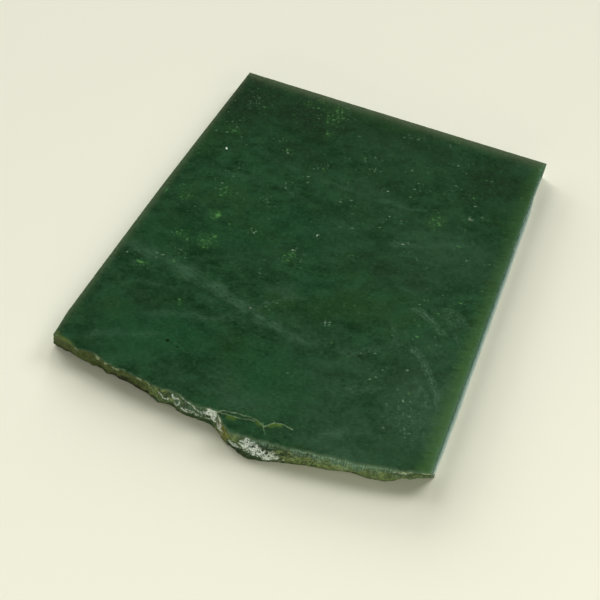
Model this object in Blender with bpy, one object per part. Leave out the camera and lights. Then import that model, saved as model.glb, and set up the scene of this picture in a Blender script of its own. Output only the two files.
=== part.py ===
"""Slab of dark green jade: three sawn sides and one rough natural edge at the front.

The stone lies on its sawn underside. X runs across the slab, Y from front to back and Z up.
The origin is on the underside, at the middle of the slab's box. One solid is made, jade_slab:
a closed shell lofted around the slab's outline, with a shallow flake broken off its front lobe.

Run with: blender --background --python part.py
"""

import math

import bmesh
import bpy
import numpy as np

MM = 0.001

# The sawn block, measured from its back left corner
THICKNESS = 6.0 * MM
WIDTH = 108.0 * MM
BACK_HOLLOW = 0.3 * MM
LEFT_BOW = 0.25 * MM
LEFT_INSET = 0.3 * MM
RIGHT_RELIEF = 0.25 * MM
RIGHT_RELIEF_RUN = 14.0 * MM

# How far the foot of a side wall leans out past its top edge
LEFT_LEAN_FRONT = 1.2 * MM
LEFT_LEAN_RUN = 9.0 * MM
RIGHT_LEAN_BACK = 0.6 * MM
RIGHT_LEAN_MIDDLE = 1.4 * MM
RIGHT_LEAN_FRONT = 1.0 * MM
RIGHT_LEAN_RUN = 25.0 * MM

# The natural edge in mm, from left to right: distance across the slab, reach of the top rim from
# the back edge, how far the lip stands out past the rim, the lip's height above the underside,
# and how far the foot stands out past the rim (below zero where the face is undercut)
FRONT_STATIONS = (
    (0.9, 128.1, -0.2, 0.7, -2.2),
    (4.5, 129.0, -0.1, 1.0, -2.4),
    (8.7, 129.7, -0.3, 1.1, -2.7),
    (15.6, 129.5, 0.4, 0.4, -1.1),
    (18.5, 130.6, -0.1, 0.7, -1.9),
    (24.0, 131.0, -0.2, 1.1, -2.2),
    (31.3, 131.8, 0.0, 1.0, -1.9),
    (35.4, 131.9, 1.1, 0.5, -0.6),
    (39.5, 131.6, 1.1, 0.2, 0.3),
    (43.3, 132.5, 0.6, 0.2, 0.0),
    (47.0, 132.6, 0.3, 0.2, -0.2),
    (50.0, 131.8, 1.1, 0.3, 0.2),
    (52.0, 132.1, 1.5, 0.4, 0.3),
    (54.2, 134.6, 0.4, 0.4, -0.2),
    (57.0, 135.5, 1.5, 0.3, -0.1),
    (60.0, 135.3, 2.5, 0.3, 1.2),
    (63.5, 135.0, 3.2, 0.3, 1.9),
    (67.0, 134.6, 3.1, 0.3, 1.9),
    (71.0, 134.5, 1.3, 0.2, 0.6),
    (75.5, 133.7, 0.7, 0.2, 0.0),
    (80.5, 132.7, 0.5, 0.2, -0.2),
    (86.0, 132.0, 0.1, 0.3, -1.0),
    (91.0, 131.0, 0.2, 0.2, -0.8),
    (98.0, 129.0, 0.6, 0.4, -0.9),
    (101.5, 128.3, 0.1, 1.9, -2.9),
    (105.0, 127.4, 0.1, 3.5, -3.6),
    (107.7, 126.5, 0.0, 4.2, -3.2),
)

# The broken face of the natural edge
FACE_BULGE = 0.35 * MM
SCOOP_SEED = 41
SCOOP_PITCH = 3.1 * MM
SCOOP_HALF_WIDTH = (1.6 * MM, 4.2 * MM)
SCOOP_HALF_HEIGHT = (1.2 * MM, 3.2 * MM)
SCOOP_DEPTH = (0.25 * MM, 0.85 * MM)
RIM_SHARE = 0.55

# The flake broken off the top of the front lobe, in mm across and towards the back
FLAKE_OUTLINE = (
    (50.6, -140.0),
    (51.6, -132.4),
    (52.9, -130.7),
    (57.0, -130.2),
    (59.4, -129.8),
    (62.0, -129.9),
    (64.4, -130.9),
    (66.6, -128.8),
    (68.8, -128.3),
    (71.5, -128.7),
    (78.0, -136.5),
    (76.0, -140.0),
)
FLAKE_HINGE = (71.5 * MM, -128.7 * MM)
FLAKE_HINGE_DIRECTION = (0.64, -0.768)
FLAKE_SLOPE = 0.04
FLAKE_CUT_HEIGHT = 3.0 * MM

# How finely the outline and the walls are divided
FRONT_STEP = 0.6 * MM
SAWN_STEP = 9.0 * MM
FACE_LEVELS = (0.0, 0.1, 0.22, 0.35, 0.48, 0.61, 0.74, 0.87, 1.0)

JADE_GREEN = (0.026, 0.085, 0.036, 1.0)
JADE_ROUGHNESS = 0.28
JADE_IOR = 1.62


def clear_scene():
    """Removes whatever objects the scene holds."""
    for thing in list(bpy.data.objects):
        bpy.data.objects.remove(thing, do_unlink=True)


def jade_material():
    """Polished dark green stone."""
    material = bpy.data.materials.new("jade")
    material.use_nodes = True
    shader = material.node_tree.nodes["Principled BSDF"]
    shader.inputs["Base Color"].default_value = JADE_GREEN
    shader.inputs["Roughness"].default_value = JADE_ROUGHNESS
    shader.inputs["IOR"].default_value = JADE_IOR
    shader.inputs["Metallic"].default_value = 0.0
    return material


def steps(length, pitch):
    """How many equal steps of about the given pitch fit in a length."""
    return max(1, round(length / pitch))


def smooth(share):
    """Eases a share from 0 to 1, level at both ends."""
    share = np.clip(share, 0.0, 1.0)
    return share * share * (3.0 - 2.0 * share)


def scoop_table():
    """The shell-shaped hollows of the broken face: across, height, half width, half height, depth."""
    chance = np.random.default_rng(SCOOP_SEED)
    count = steps(WIDTH, SCOOP_PITCH)
    across = (np.arange(count) + chance.uniform(-0.3, 1.3, count)) * WIDTH / count
    height = chance.uniform(0.0, 1.0, count) * THICKNESS
    half_width = chance.uniform(*SCOOP_HALF_WIDTH, count)
    half_height = chance.uniform(*SCOOP_HALF_HEIGHT, count)
    depth = chance.uniform(*SCOOP_DEPTH, count)
    return np.stack([across, height, half_width, half_height, depth], axis=1)


def scooped(across, height, table):
    """Depth that the hollows take off the face: the deepest of their paraboloids at each point."""
    away_x = (across[..., None] - table[:, 0]) / table[:, 2]
    away_z = (height[..., None] - table[:, 1]) / table[:, 3]
    bowls = table[:, 4] * (1.0 - away_x**2 - away_z**2)
    return np.maximum(bowls.max(axis=-1), 0.0)


def front_columns():
    """The natural edge as columns of points from rim to foot, from left to right."""
    stations = np.array(FRONT_STATIONS) * MM
    first, last = stations[0, 0], stations[-1, 0]
    across = np.linspace(first, last, steps(last - first, FRONT_STEP) + 1)
    reach, lip_out, lip_height, foot_out = (
        np.interp(across, stations[:, 0], stations[:, k]) for k in range(1, 5)
    )
    level = np.array(FACE_LEVELS)[:, None]
    height = THICKNESS + (lip_height - THICKNESS) * level
    table = scoop_table()
    taken = scooped(np.broadcast_to(across, height.shape), height, table)
    taken = taken * (RIM_SHARE + (1.0 - RIM_SHARE) * smooth(level * 4.0))
    out = lip_out * level + FACE_BULGE * np.sin(math.pi * level) - taken
    # The foot closes the undercut below the lip
    out = np.vstack([out, foot_out])
    height = np.vstack([height, np.zeros_like(across)])
    lean_left = -LEFT_LEAN_FRONT * smooth(1.0 - (across - first) / LEFT_LEAN_RUN)
    lean_right = RIGHT_LEAN_FRONT * smooth(1.0 - (last - across) / LEFT_LEAN_RUN)
    x = across + (lean_left + lean_right) * (1.0 - height / THICKNESS)
    y = -(reach + out)
    return [list(zip(x[:, i], y[:, i], height[:, i])) for i in range(len(across))]


def wall_column(x_top, y_top, x_foot, y_foot, levels):
    """A straight column of a sawn wall, with as many points as a front column has."""
    column = []
    for level in levels:
        x = x_top + (x_foot - x_top) * level
        y = y_top + (y_foot - y_top) * level
        column.append((x, y, THICKNESS * (1.0 - level)))
    return column


def left_columns(corner, levels):
    """The left wall from the back left corner to the front left one, bowed outwards a little."""
    length = -corner[1]
    count = steps(length, SAWN_STEP / 2)
    columns = []
    for i in range(count):
        share = i / count
        x = LEFT_INSET * abs(2.0 * share - 1.0) - LEFT_BOW * math.sin(math.pi * share)
        x += (corner[0] - LEFT_INSET) * smooth(1.0 - length * (1.0 - share) / LEFT_LEAN_RUN)
        lean = LEFT_LEAN_FRONT * smooth(1.0 - length * (1.0 - share) / LEFT_LEAN_RUN)
        columns.append(wall_column(x, -length * share, x - lean, -length * share, levels))
    return columns


def right_columns(corner, levels):
    """The right wall from the front right corner to the back right one. Its saw cut leans outwards."""
    length = -corner[1]
    count = steps(length, SAWN_STEP / 2)
    columns = []
    for i in range(1, count):
        y = -length * (1.0 - i / count)
        from_back = smooth(-y / RIGHT_LEAN_RUN)
        from_front = smooth((length + y) / RIGHT_LEAN_RUN)
        lean = RIGHT_LEAN_BACK + (RIGHT_LEAN_MIDDLE - RIGHT_LEAN_BACK) * from_back
        lean -= (RIGHT_LEAN_MIDDLE - RIGHT_LEAN_FRONT) * (1.0 - from_front)
        x = WIDTH - RIGHT_RELIEF * smooth(-y / RIGHT_RELIEF_RUN)
        columns.append(wall_column(x, y, x + lean, y, levels))
    return columns


def back_columns(levels):
    """The back wall from the right corner to the left one, a little hollow along its length."""
    count = steps(WIDTH, SAWN_STEP)
    columns = []
    for i in range(count):
        share = i / count
        x = WIDTH * (1.0 - share)
        y = -BACK_HOLLOW * math.sin(math.pi * share)
        foot = x + (RIGHT_LEAN_BACK if i == 0 else 0.0)
        columns.append(wall_column(x, y, foot, y, levels))
    return columns


def slab_columns():
    """Every column of the outline, counter-clockwise seen from above, from the back left corner."""
    front = front_columns()
    count = len(front[0])
    levels = [k / (count - 1) for k in range(count)]
    left = left_columns(front[0][0], levels)
    right = right_columns(front[-1][0], levels)
    return left + front + right + back_columns(levels)


def loft_slab():
    """Lofts the columns into one closed shell with a flat top and a flat underside."""
    columns = slab_columns()
    shell = bmesh.new()
    rows = [[shell.verts.new(column[k]) for column in columns] for k in range(len(columns[0]))]
    count = len(columns)
    for upper, lower in zip(rows, rows[1:]):
        for i in range(count):
            j = (i + 1) % count
            shell.faces.new((upper[i], lower[i], lower[j]))
            shell.faces.new((upper[i], lower[j], upper[j]))
    shell.faces.new(rows[0])
    shell.faces.new(reversed(rows[-1]))
    mesh = bpy.data.meshes.new("jade_slab")
    shell.to_mesh(mesh)
    shell.free()
    slab = bpy.data.objects.new("jade_slab", mesh)
    bpy.context.collection.objects.link(slab)
    return slab


def flake_floor(x, y):
    """Height of the flake scar: a plane that dips away from its hinge line, level with the top there."""
    along_x, along_y = FLAKE_HINGE_DIRECTION
    away = (x - FLAKE_HINGE[0]) * along_y - (y - FLAKE_HINGE[1]) * along_x
    return THICKNESS - FLAKE_SLOPE * away


def flake_cutter():
    """The wedge that the broken flake leaves empty."""
    outline = [(x * MM, y * MM) for x, y in FLAKE_OUTLINE]
    wedge = bmesh.new()
    low = [wedge.verts.new((x, y, flake_floor(x, y))) for x, y in outline]
    high = [wedge.verts.new((x, y, THICKNESS + FLAKE_CUT_HEIGHT)) for x, y in outline]
    count = len(outline)
    for i in range(count):
        j = (i + 1) % count
        wedge.faces.new((low[i], low[j], high[j], high[i]))
    wedge.faces.new(list(reversed(low)))
    wedge.faces.new(high)
    bmesh.ops.recalc_face_normals(wedge, faces=wedge.faces)
    mesh = bpy.data.meshes.new("flake_cutter")
    wedge.to_mesh(mesh)
    wedge.free()
    cutter = bpy.data.objects.new("flake_cutter", mesh)
    bpy.context.collection.objects.link(cutter)
    cutter.hide_render = True
    cutter.display_type = "WIRE"
    return cutter


def centre_on_box(slab, *others):
    """Moves the meshes so that the slab's box is centred over the origin."""
    low = np.min([vertex.co for vertex in slab.data.vertices], axis=0)
    high = np.max([vertex.co for vertex in slab.data.vertices], axis=0)
    shift = (-(low[0] + high[0]) / 2, -(low[1] + high[1]) / 2, 0.0)
    for thing in (slab, *others):
        for vertex in thing.data.vertices:
            vertex.co.x += shift[0]
            vertex.co.y += shift[1]


def main():
    clear_scene()
    slab = loft_slab()
    cutter = flake_cutter()
    centre_on_box(slab, cutter)
    scar = slab.modifiers.new("flake_scar", "BOOLEAN")
    scar.operation = "DIFFERENCE"
    scar.object = cutter
    slab.data.materials.append(jade_material())


main()
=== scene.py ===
"""Dressed model of a flat slab of dark green jade with one rough natural edge at the front.

The CAD solid is loaded as a fixed frame, and the slab is modelled again over it as one fine closed
shell, so that the broken edge, the flake scar and the chipped rims are real shapes. Lengths are in
millimetres and are measured from the slab's back left corner: x runs across the slab, y towards the
back, so that the slab lies at negative y, and z up. A point's reach is its distance from the back
edge, which is minus its y. Metres come in only where a mesh, a light or the camera is made.
"""

import logging
import math
from dataclasses import dataclass, field, fields
from enum import Enum

import bpy
import numpy as np
from mathutils import Matrix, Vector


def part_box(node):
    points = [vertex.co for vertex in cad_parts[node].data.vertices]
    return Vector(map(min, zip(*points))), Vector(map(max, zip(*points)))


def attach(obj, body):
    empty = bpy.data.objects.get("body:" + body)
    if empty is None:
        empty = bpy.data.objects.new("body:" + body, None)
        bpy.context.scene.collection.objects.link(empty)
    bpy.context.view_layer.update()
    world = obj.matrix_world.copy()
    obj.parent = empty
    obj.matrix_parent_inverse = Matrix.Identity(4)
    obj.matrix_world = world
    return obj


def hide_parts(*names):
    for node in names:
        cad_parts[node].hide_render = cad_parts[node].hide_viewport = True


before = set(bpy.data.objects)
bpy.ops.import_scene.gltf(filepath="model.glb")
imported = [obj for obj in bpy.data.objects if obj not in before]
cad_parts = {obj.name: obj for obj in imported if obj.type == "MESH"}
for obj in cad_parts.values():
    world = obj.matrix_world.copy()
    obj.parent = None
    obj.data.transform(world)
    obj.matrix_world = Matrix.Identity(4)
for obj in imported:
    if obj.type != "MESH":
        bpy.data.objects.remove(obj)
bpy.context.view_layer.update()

MM = 0.001
NODE = "jade_slab"
PIECE = "jade_slab_stone"
BODY = "root"

LOG = logging.getLogger("jade_slab")

Array = np.ndarray
Socket = bpy.types.NodeSocket
Colour = tuple[float, float, float, float]
Pair = tuple[float, float]
Line = tuple[Pair, ...]


def shade(red: int, green: int, blue: int) -> Colour:
    """Turns a display colour of 0 to 255 into the linear colour that a shader takes.

    Args:
        red: Display red.
        green: Display green.
        blue: Display blue.

    Returns:
        The linear colour with an alpha of 1.
    """
    display = np.array([red, green, blue]) / 255.0
    low = display / 12.92
    high = ((display + 0.055) / 1.055) ** 2.4
    linear = np.where(display <= 0.04045, low, high)
    return (float(linear[0]), float(linear[1]), float(linear[2]), 1.0)


def ease(share: Array) -> Array:
    """Eases a share from 0 to 1, level at both ends: three times its square less twice its cube."""
    share = np.clip(share, 0.0, 1.0)
    return share * share * (3.0 - 2.0 * share)


def lattice(x: Array, y: Array, cell: float, seed: int, size: int = 257) -> Array:
    """Smooth random field: random heights at the corners of square cells, eased between them.

    Args:
        x: First coordinate of each point.
        y: Second coordinate of each point.
        cell: Side of a cell.
        seed: Seed of the random heights.
        size: How many cells there are before the field repeats.

    Returns:
        A value from -1 to 1 for each point.
    """
    corner = np.random.default_rng(seed).uniform(-1.0, 1.0, (size, size))
    u, v = np.asarray(x) / cell, np.asarray(y) / cell
    i, j = np.floor(u).astype(int), np.floor(v).astype(int)
    s, t = ease(u - i), ease(v - j)
    i, j = i % size, j % size
    k, m = (i + 1) % size, (j + 1) % size
    near = corner[i, j] * (1.0 - s) + corner[k, j] * s
    far = corner[i, m] * (1.0 - s) + corner[k, m] * s
    return near * (1.0 - t) + far * t


def fractal(x: Array, y: Array, cell: float, octaves: int, seed: int) -> Array:
    """Sum of smooth random fields, each with half the cell and 0.55 of the height of the last."""
    total = np.zeros(np.broadcast(x, y).shape)
    weight = 1.0
    for octave in range(octaves):
        total = total + weight * lattice(x, y, cell / 2**octave, seed + octave)
        weight *= 0.55
    return total


@dataclass(frozen=True)
class Stir:
    """A pair of smooth random fields that move points about."""

    size: float
    cell: float
    octaves: int
    seeds: tuple[int, int]

    def move(self, x: Array, y: Array) -> tuple[Array, Array]:
        """The points, each moved by what the two fields are at its place."""
        push = [self.size * fractal(x, y, self.cell, self.octaves, seed) for seed in self.seeds]
        return x + push[0], y + push[1]


def line_gaps(x: Array, y: Array, corners: Array) -> tuple[Array, Array]:
    """Distance from each point to each straight stretch of a line, and the side it lies on.

    Args:
        x: First coordinate of each point.
        y: Second coordinate of each point.
        corners: The line's corners, one row each.

    Returns:
        The distances, with a last axis over the stretches, and 1 for left or -1 for right of each.
    """
    start, step = corners[:-1], np.diff(corners, axis=0)
    away_x, away_y = x[..., None] - start[:, 0], y[..., None] - start[:, 1]
    along = (away_x * step[:, 0] + away_y * step[:, 1]) / (step**2).sum(axis=1)
    along = np.clip(along, 0.0, 1.0)
    gap = np.hypot(away_x - along * step[:, 0], away_y - along * step[:, 1])
    return gap, np.sign(step[:, 0] * away_y - step[:, 1] * away_x)


def line_distance(x: Array, y: Array, corners: Array) -> Array:
    """Distance from each point to the nearest place on a line of straight stretches."""
    return line_gaps(x, y, corners)[0].min(axis=-1)


def on_slab(corners: Line) -> Array:
    """Corners given as distance across and reach, as x and y."""
    return np.array(corners) * (1.0, -1.0)


def bowls(u: Array, v: Array, table: Array) -> Array:
    """Depth of the deepest of many shell-shaped hollows at each point.

    Each hollow is a paraboloid: its depth times one less the squares of the point's distances
    from its middle, each divided by the hollow's half size in that direction.

    Args:
        u: First coordinate of each point.
        v: Second coordinate of each point.
        table: One row per hollow: middle u, middle v, half size u, half size v, depth.

    Returns:
        The depth at each point, never below zero.
    """
    deepest = np.zeros(np.broadcast(u, v).shape)
    for middle_u, middle_v, half_u, half_v, depth in table:
        bowl = depth * (1.0 - ((u - middle_u) / half_u) ** 2 - ((v - middle_v) / half_v) ** 2)
        np.maximum(deepest, bowl, out=deepest)
    return deepest


@dataclass(frozen=True)
class SawnBlock:
    """The block's sawn sides: a straight back, a bowed left side and a right side that leans out."""

    thickness: float = 6.0
    width: float = 108.0
    back_hollow: float = 0.08
    left_bow: float = 0.25
    left_inset: float = 0.3
    left_lean: float = 1.2
    left_lean_run: float = 9.0
    right_flare: float = 0.5
    right_relief: float = 0.75
    right_relief_run: float = 15.0
    right_leans: tuple[float, float, float] = (0.1, 1.4, 1.0)
    right_lean_run: float = 25.0
    bottom_bevel: float = 0.12
    bottom_lip: float = 0.25
    corner_run: float = 6.5

    def left(self, corner: "Columns", count: int) -> "Columns":
        """The left wall from the back left corner towards the front one.

        x follows a shallow bow, and near the front the foot leans out and takes over the natural
        edge's undercut.

        Args:
            corner: The natural edge's first column.
            count: How many columns to make.

        Returns:
            The columns, without the front corner's own.
        """
        share = np.arange(count) / count
        length = -corner.rim[0, 1]
        left_over = length * (1.0 - share)
        near = ease(1.0 - left_over / self.left_lean_run)
        x = self.left_inset * np.abs(2.0 * share - 1.0) - self.left_bow * np.sin(math.pi * share)
        x = x + (corner.rim[0, 0] - self.left_inset) * near
        lean = -self.left_lean * near
        return self.wall(x, -length * share, lean, left_over, corner, (-1.0, 0.0))

    def right(self, corner: "Columns", count: int) -> "Columns":
        """The right wall from the front right corner towards the back one, leaning outwards.

        Args:
            corner: The natural edge's last column.
            count: How many columns to make.

        Returns:
            The columns, without either corner's own.
        """
        share = (np.arange(count) + 1.0) / (count + 1.0)
        length = -corner.rim[0, 1]
        y = -length * (1.0 - share)
        at_back, at_middle, at_front = self.right_leans
        lean = at_back + (at_middle - at_back) * ease(-y / self.right_lean_run)
        lean = lean - (at_middle - at_front) * (1.0 - ease((length + y) / self.right_lean_run))
        x = self.width + self.right_flare - self.right_relief * ease(-y / self.right_relief_run)
        return self.wall(x, y, lean, length + y, corner, (1.0, 0.0))

    def back(self, count: int) -> "Columns":
        """The back wall from the right corner to the left one, hollow by a share of a sine."""
        share = np.arange(count) / count
        x = (self.width + self.right_flare) * (1.0 - share)
        y = -self.back_hollow * np.sin(math.pi * share)
        lean = self.right_leans[0] * np.clip(1.0 - (self.width - x) / self.left_lean_run, 0.0, 1.0)
        return self.wall(x, y, lean, np.full(count, self.width), None, (0.0, 1.0))

    def wall(
        self,
        x: Array,
        y: Array,
        lean: Array,
        to_corner: Array,
        corner: "Columns | None",
        outward: Pair,
    ) -> "Columns":
        """Straight sawn columns that ease into the natural edge's corner column.

        Args:
            x: Rim place across the slab.
            y: Rim place towards the back.
            lean: How far the foot stands to the right of the rim.
            to_corner: Distance to the natural edge's corner.
            corner: That corner's column, or None where the wall doesn't reach it.
            outward: Which way the wall faces.

        Returns:
            The wall's columns.
        """
        near = ease(1.0 - to_corner / self.corner_run)
        lip_height = np.full(len(x), self.bottom_lip)
        lip_y, foot_y = y.copy(), y - self.bottom_bevel * outward[1]
        if corner is not None:
            lip_height = lip_height + (corner.lip_height[0] - self.bottom_lip) * near
            lip_y = y + (corner.lip[0, 1] - corner.rim[0, 1]) * near
            foot_y = foot_y + (corner.foot[0, 1] - corner.rim[0, 1]) * near
        lip_x = x + lean * (1.0 - lip_height / self.thickness)
        foot_x = x + lean - self.bottom_bevel * outward[0]
        return Columns(
            rim=np.stack([x, y], axis=1),
            lip=np.stack([lip_x, lip_y], axis=1),
            lip_height=lip_height,
            foot=np.stack([foot_x, foot_y], axis=1),
            natural=near if corner is not None else np.zeros(len(x)),
            outward=np.tile(np.array(outward), (len(x), 1)),
        )


@dataclass
class Columns:
    """Columns of the slab's outline, from the top rim down over the lip to the foot."""

    rim: Array
    lip: Array
    lip_height: Array
    foot: Array
    natural: Array
    outward: Array

    def __len__(self) -> int:
        """How many columns there are."""
        return len(self.rim)

    def parts(self) -> list[Array]:
        """The columns' arrays in the order of the fields."""
        return [getattr(self, part.name) for part in fields(self)]

    def one(self, index: int) -> "Columns":
        """A single column, counted from the end where the index is negative."""
        return Columns(*(part[[index]] for part in self.parts()))

    @staticmethod
    def join(runs: list["Columns"]) -> "Columns":
        """The runs' columns one after another."""
        return Columns(*(np.concatenate(parts) for parts in zip(*(run.parts() for run in runs))))


class Mineral(Enum):
    """What shows on the broken edge. Each value is the name of the mask that the finish reads."""

    OLIVE = "olive_rind"
    OCHRE = "ochre_rind"
    TEAL = "teal_band"
    CRUST = "white_crust"
    PALE = "pale_line"
    # Painted shade low on the edge, where it is undercut
    DARK = "dark_hollow"


@dataclass(frozen=True)
class Growth:
    """A patch of one mineral on the edge: an oval in distance across and level below the rim."""

    mineral: Mineral
    across: float
    half_width: float
    level: float
    half_level: float
    strength: float = 1.0
    ragged: float = 0.45


@dataclass(frozen=True)
class Squiggle:
    """A thin pale line on the edge, through corners of distance across and height."""

    corners: Line
    half_width: float = 0.14
    strength: float = 0.9


@dataclass(frozen=True)
class NaturalEdge:
    """The broken front edge, with its rind, its hollows and its crust."""

    block: SawnBlock = SawnBlock()
    # Across, rim reach, lip out, lip height, foot out, from left to right
    stations: tuple[tuple[float, float, float, float, float], ...] = (
        (0.9, 128.1, -0.2, 0.7, -2.2),
        (4.5, 129.0, -0.1, 1.0, -2.4),
        (8.7, 129.7, -0.3, 1.1, -2.7),
        (15.6, 129.5, 0.4, 0.4, -1.1),
        (18.5, 130.6, -0.1, 0.7, -1.9),
        (24.0, 131.0, -0.2, 1.1, -2.2),
        (31.3, 131.8, 0.0, 1.0, -1.9),
        (35.4, 131.9, 1.1, 0.5, -0.6),
        (39.5, 131.6, 1.1, 0.2, 0.3),
        (43.3, 132.5, 0.6, 0.2, 0.0),
        (47.0, 132.6, 0.3, 0.2, -0.2),
        (50.0, 131.8, 1.1, 0.3, 0.2),
        (52.0, 132.1, 1.5, 0.4, 0.3),
        (54.2, 134.6, 0.4, 0.4, -0.2),
        (57.0, 135.5, 1.5, 0.3, -0.1),
        (60.0, 135.3, 2.5, 0.3, 1.2),
        (63.5, 135.0, 3.2, 0.3, 1.9),
        (67.0, 134.6, 3.1, 0.3, 1.9),
        (71.0, 134.5, 1.3, 0.2, 0.6),
        (75.5, 133.7, 0.7, 0.2, 0.0),
        (80.5, 132.7, 0.5, 0.2, -0.2),
        (86.0, 132.0, 0.1, 0.3, -1.0),
        (91.0, 131.0, 0.2, 0.2, -0.8),
        (98.0, 129.0, 0.6, 0.4, -0.9),
        (101.5, 128.3, 0.1, 1.9, -2.9),
        (105.0, 127.4, 0.1, 3.5, -3.6),
        (107.7, 126.5, 0.0, 4.2, -3.2),
    )
    bulge: float = 0.35
    scoop_seed: int = 41
    scoop_pitch: float = 3.1
    scoop_half_width: Pair = (1.6, 4.2)
    scoop_half_height: Pair = (1.2, 3.2)
    scoop_depth: Pair = (0.25, 0.85)
    rim_share: float = 0.55
    chip_seed: int = 97
    chip_count: int = 620
    chip_half_width: Pair = (0.35, 1.3)
    chip_half_height: Pair = (0.3, 1.0)
    chip_depth: Pair = (0.04, 0.2)
    grain: float = 0.035
    grain_cell: float = 0.8
    fibre_from: float = 70.0
    fibre_run: float = 4.0
    fibre_width: float = 0.42
    fibre_depth: float = 0.05
    # Level at which the fibres start to fade, and over how much of it they do
    fibre_fade: Pair = (0.35, 0.3)
    crust_height: float = 0.22
    crust_lump: float = 0.5
    crust_seed: int = 701
    growth_seed: int = 300
    growth_cell: float = 0.9
    growth_border: float = 0.45
    squiggle_stir: Stir = Stir(0.25, 0.9, 1, (501, 502))
    growths: tuple[Growth, ...] = (
        Growth(Mineral.OLIVE, 16.0, 24.0, 0.5, 0.95, 1.0, ragged=0.3),
        Growth(Mineral.OLIVE, 53.0, 1.0, 0.15, 0.35, 0.9),
        Growth(Mineral.OLIVE, 84.0, 17.0, 0.7, 0.42, 1.0, ragged=0.6),
        Growth(Mineral.OLIVE, 98.0, 9.0, 0.75, 0.4, 0.6),
        Growth(Mineral.OLIVE, 58.0, 3.2, 0.3, 0.3, 0.8, ragged=0.6),
        Growth(Mineral.PALE, 52.8, 0.9, 0.08, 0.2, 0.7, ragged=0.7),
        Growth(Mineral.OCHRE, 55.0, 2.1, 0.5, 0.5, 0.8, ragged=0.6),
        Growth(Mineral.OCHRE, 28.0, 4.0, 0.7, 0.3, 0.35),
        Growth(Mineral.TEAL, 86.0, 17.0, 0.04, 0.22, 1.0, ragged=0.2),
        Growth(Mineral.TEAL, 88.0, 16.0, 0.2, 0.34, 0.5, ragged=0.5),
        Growth(Mineral.TEAL, 44.0, 7.0, 0.3, 0.5, 0.3),
        Growth(Mineral.TEAL, 64.0, 8.0, 0.05, 0.2, 0.6),
        Growth(Mineral.CRUST, 50.3, 2.2, 0.3, 0.33, 1.0),
        Growth(Mineral.CRUST, 62.0, 1.8, 0.32, 0.26, 0.9, ragged=0.7),
        Growth(Mineral.CRUST, 65.3, 3.0, 0.5, 0.22, 1.0, ragged=0.6),
        Growth(Mineral.CRUST, 69.0, 2.4, 0.7, 0.22, 1.0, ragged=0.6),
        Growth(Mineral.CRUST, 58.6, 1.8, 0.68, 0.1, 0.7, ragged=0.8),
        Growth(Mineral.CRUST, 45.0, 2.0, 0.6, 0.12, 0.6, ragged=0.8),
        # Dark patches low under the lobe: painted shade
        Growth(Mineral.DARK, 61.5, 3.5, 0.9, 0.25, 0.3),
        Growth(Mineral.DARK, 72.5, 2.5, 0.9, 0.2, 0.2),
        Growth(Mineral.PALE, 8.7, 0.6, 0.05, 0.16, 0.45),
        Growth(Mineral.PALE, 15.4, 0.7, 0.08, 0.2, 0.45),
        Growth(Mineral.PALE, 18.4, 0.6, 0.06, 0.16, 0.6),
        Growth(Mineral.PALE, 21.8, 1.2, 0.05, 0.14, 0.5),
        Growth(Mineral.PALE, 28.8, 0.8, 0.08, 0.2, 0.9),
        Growth(Mineral.PALE, 31.6, 0.8, 0.05, 0.14, 0.5),
        Growth(Mineral.PALE, 106.8, 1.2, 0.05, 0.2, 1.0),
        Growth(Mineral.PALE, 101.5, 2.4, 0.12, 0.12, 0.6),
        # Dark patches at the foot on the left: painted shade where the edge is undercut
        Growth(Mineral.DARK, 25.5, 8.0, 0.95, 0.5, 1.0, ragged=0.3),
        Growth(Mineral.DARK, 3.5, 3.5, 1.0, 0.15, 0.8, ragged=0.2),
        Growth(Mineral.CRUST, 53.0, 1.3, 0.3, 0.35, 0.6, ragged=1.0),
        Growth(Mineral.OCHRE, 53.5, 2.0, 0.75, 0.25, 0.6, ragged=0.8),
    )
    squiggles: tuple[Squiggle, ...] = (
        Squiggle(((35.0, 4.6), (36.5, 3.6), (38.0, 3.4))),
        Squiggle(((38.6, 5.3), (39.4, 4.2), (40.6, 4.3), (41.0, 3.2), (40.2, 2.4), (39.5, 3.0))),
        Squiggle(((41.2, 5.8), (43.0, 5.4), (44.6, 5.5), (46.4, 4.8), (47.0, 4.0))),
        Squiggle(((42.0, 2.6), (43.4, 2.0), (44.8, 1.9)), 0.2),
    )

    def front(self, count: int) -> Columns:
        """The natural edge from left to right, straight between its stations.

        Args:
            count: How many columns to make.

        Returns:
            The columns, both corners among them.
        """
        table = np.array(self.stations)
        across = np.linspace(table[0, 0], table[-1, 0], count)
        reach, lip_out, lip_height, foot_out = (
            np.interp(across, table[:, 0], table[:, k]) for k in range(1, 5)
        )
        block = self.block
        lean = block.right_leans[2] * ease(1.0 - (across[-1] - across) / block.left_lean_run)
        lean = lean - block.left_lean * ease(1.0 - (across - across[0]) / block.left_lean_run)
        lip_x = across + lean * (1.0 - lip_height / block.thickness)
        return Columns(
            rim=np.stack([across, -reach], axis=1),
            lip=np.stack([lip_x, -(reach + lip_out)], axis=1),
            lip_height=lip_height,
            foot=np.stack([across + lean, -(reach + foot_out)], axis=1),
            natural=np.ones(count),
            outward=np.tile(np.array([0.0, -1.0]), (count, 1)),
        )

    def scoops(self) -> Array:
        """The large shell-shaped hollows, drawn in the CAD solid's own order."""
        chance = np.random.default_rng(self.scoop_seed)
        width = self.block.width
        count = max(1, round(width / self.scoop_pitch))
        across = (np.arange(count) + chance.uniform(-0.3, 1.3, count)) * width / count
        height = chance.uniform(0.0, 1.0, count) * self.block.thickness
        half_width = chance.uniform(*self.scoop_half_width, count)
        half_height = chance.uniform(*self.scoop_half_height, count)
        depth = chance.uniform(*self.scoop_depth, count)
        return np.stack([across, height, half_width, half_height, depth], axis=1)

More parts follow.
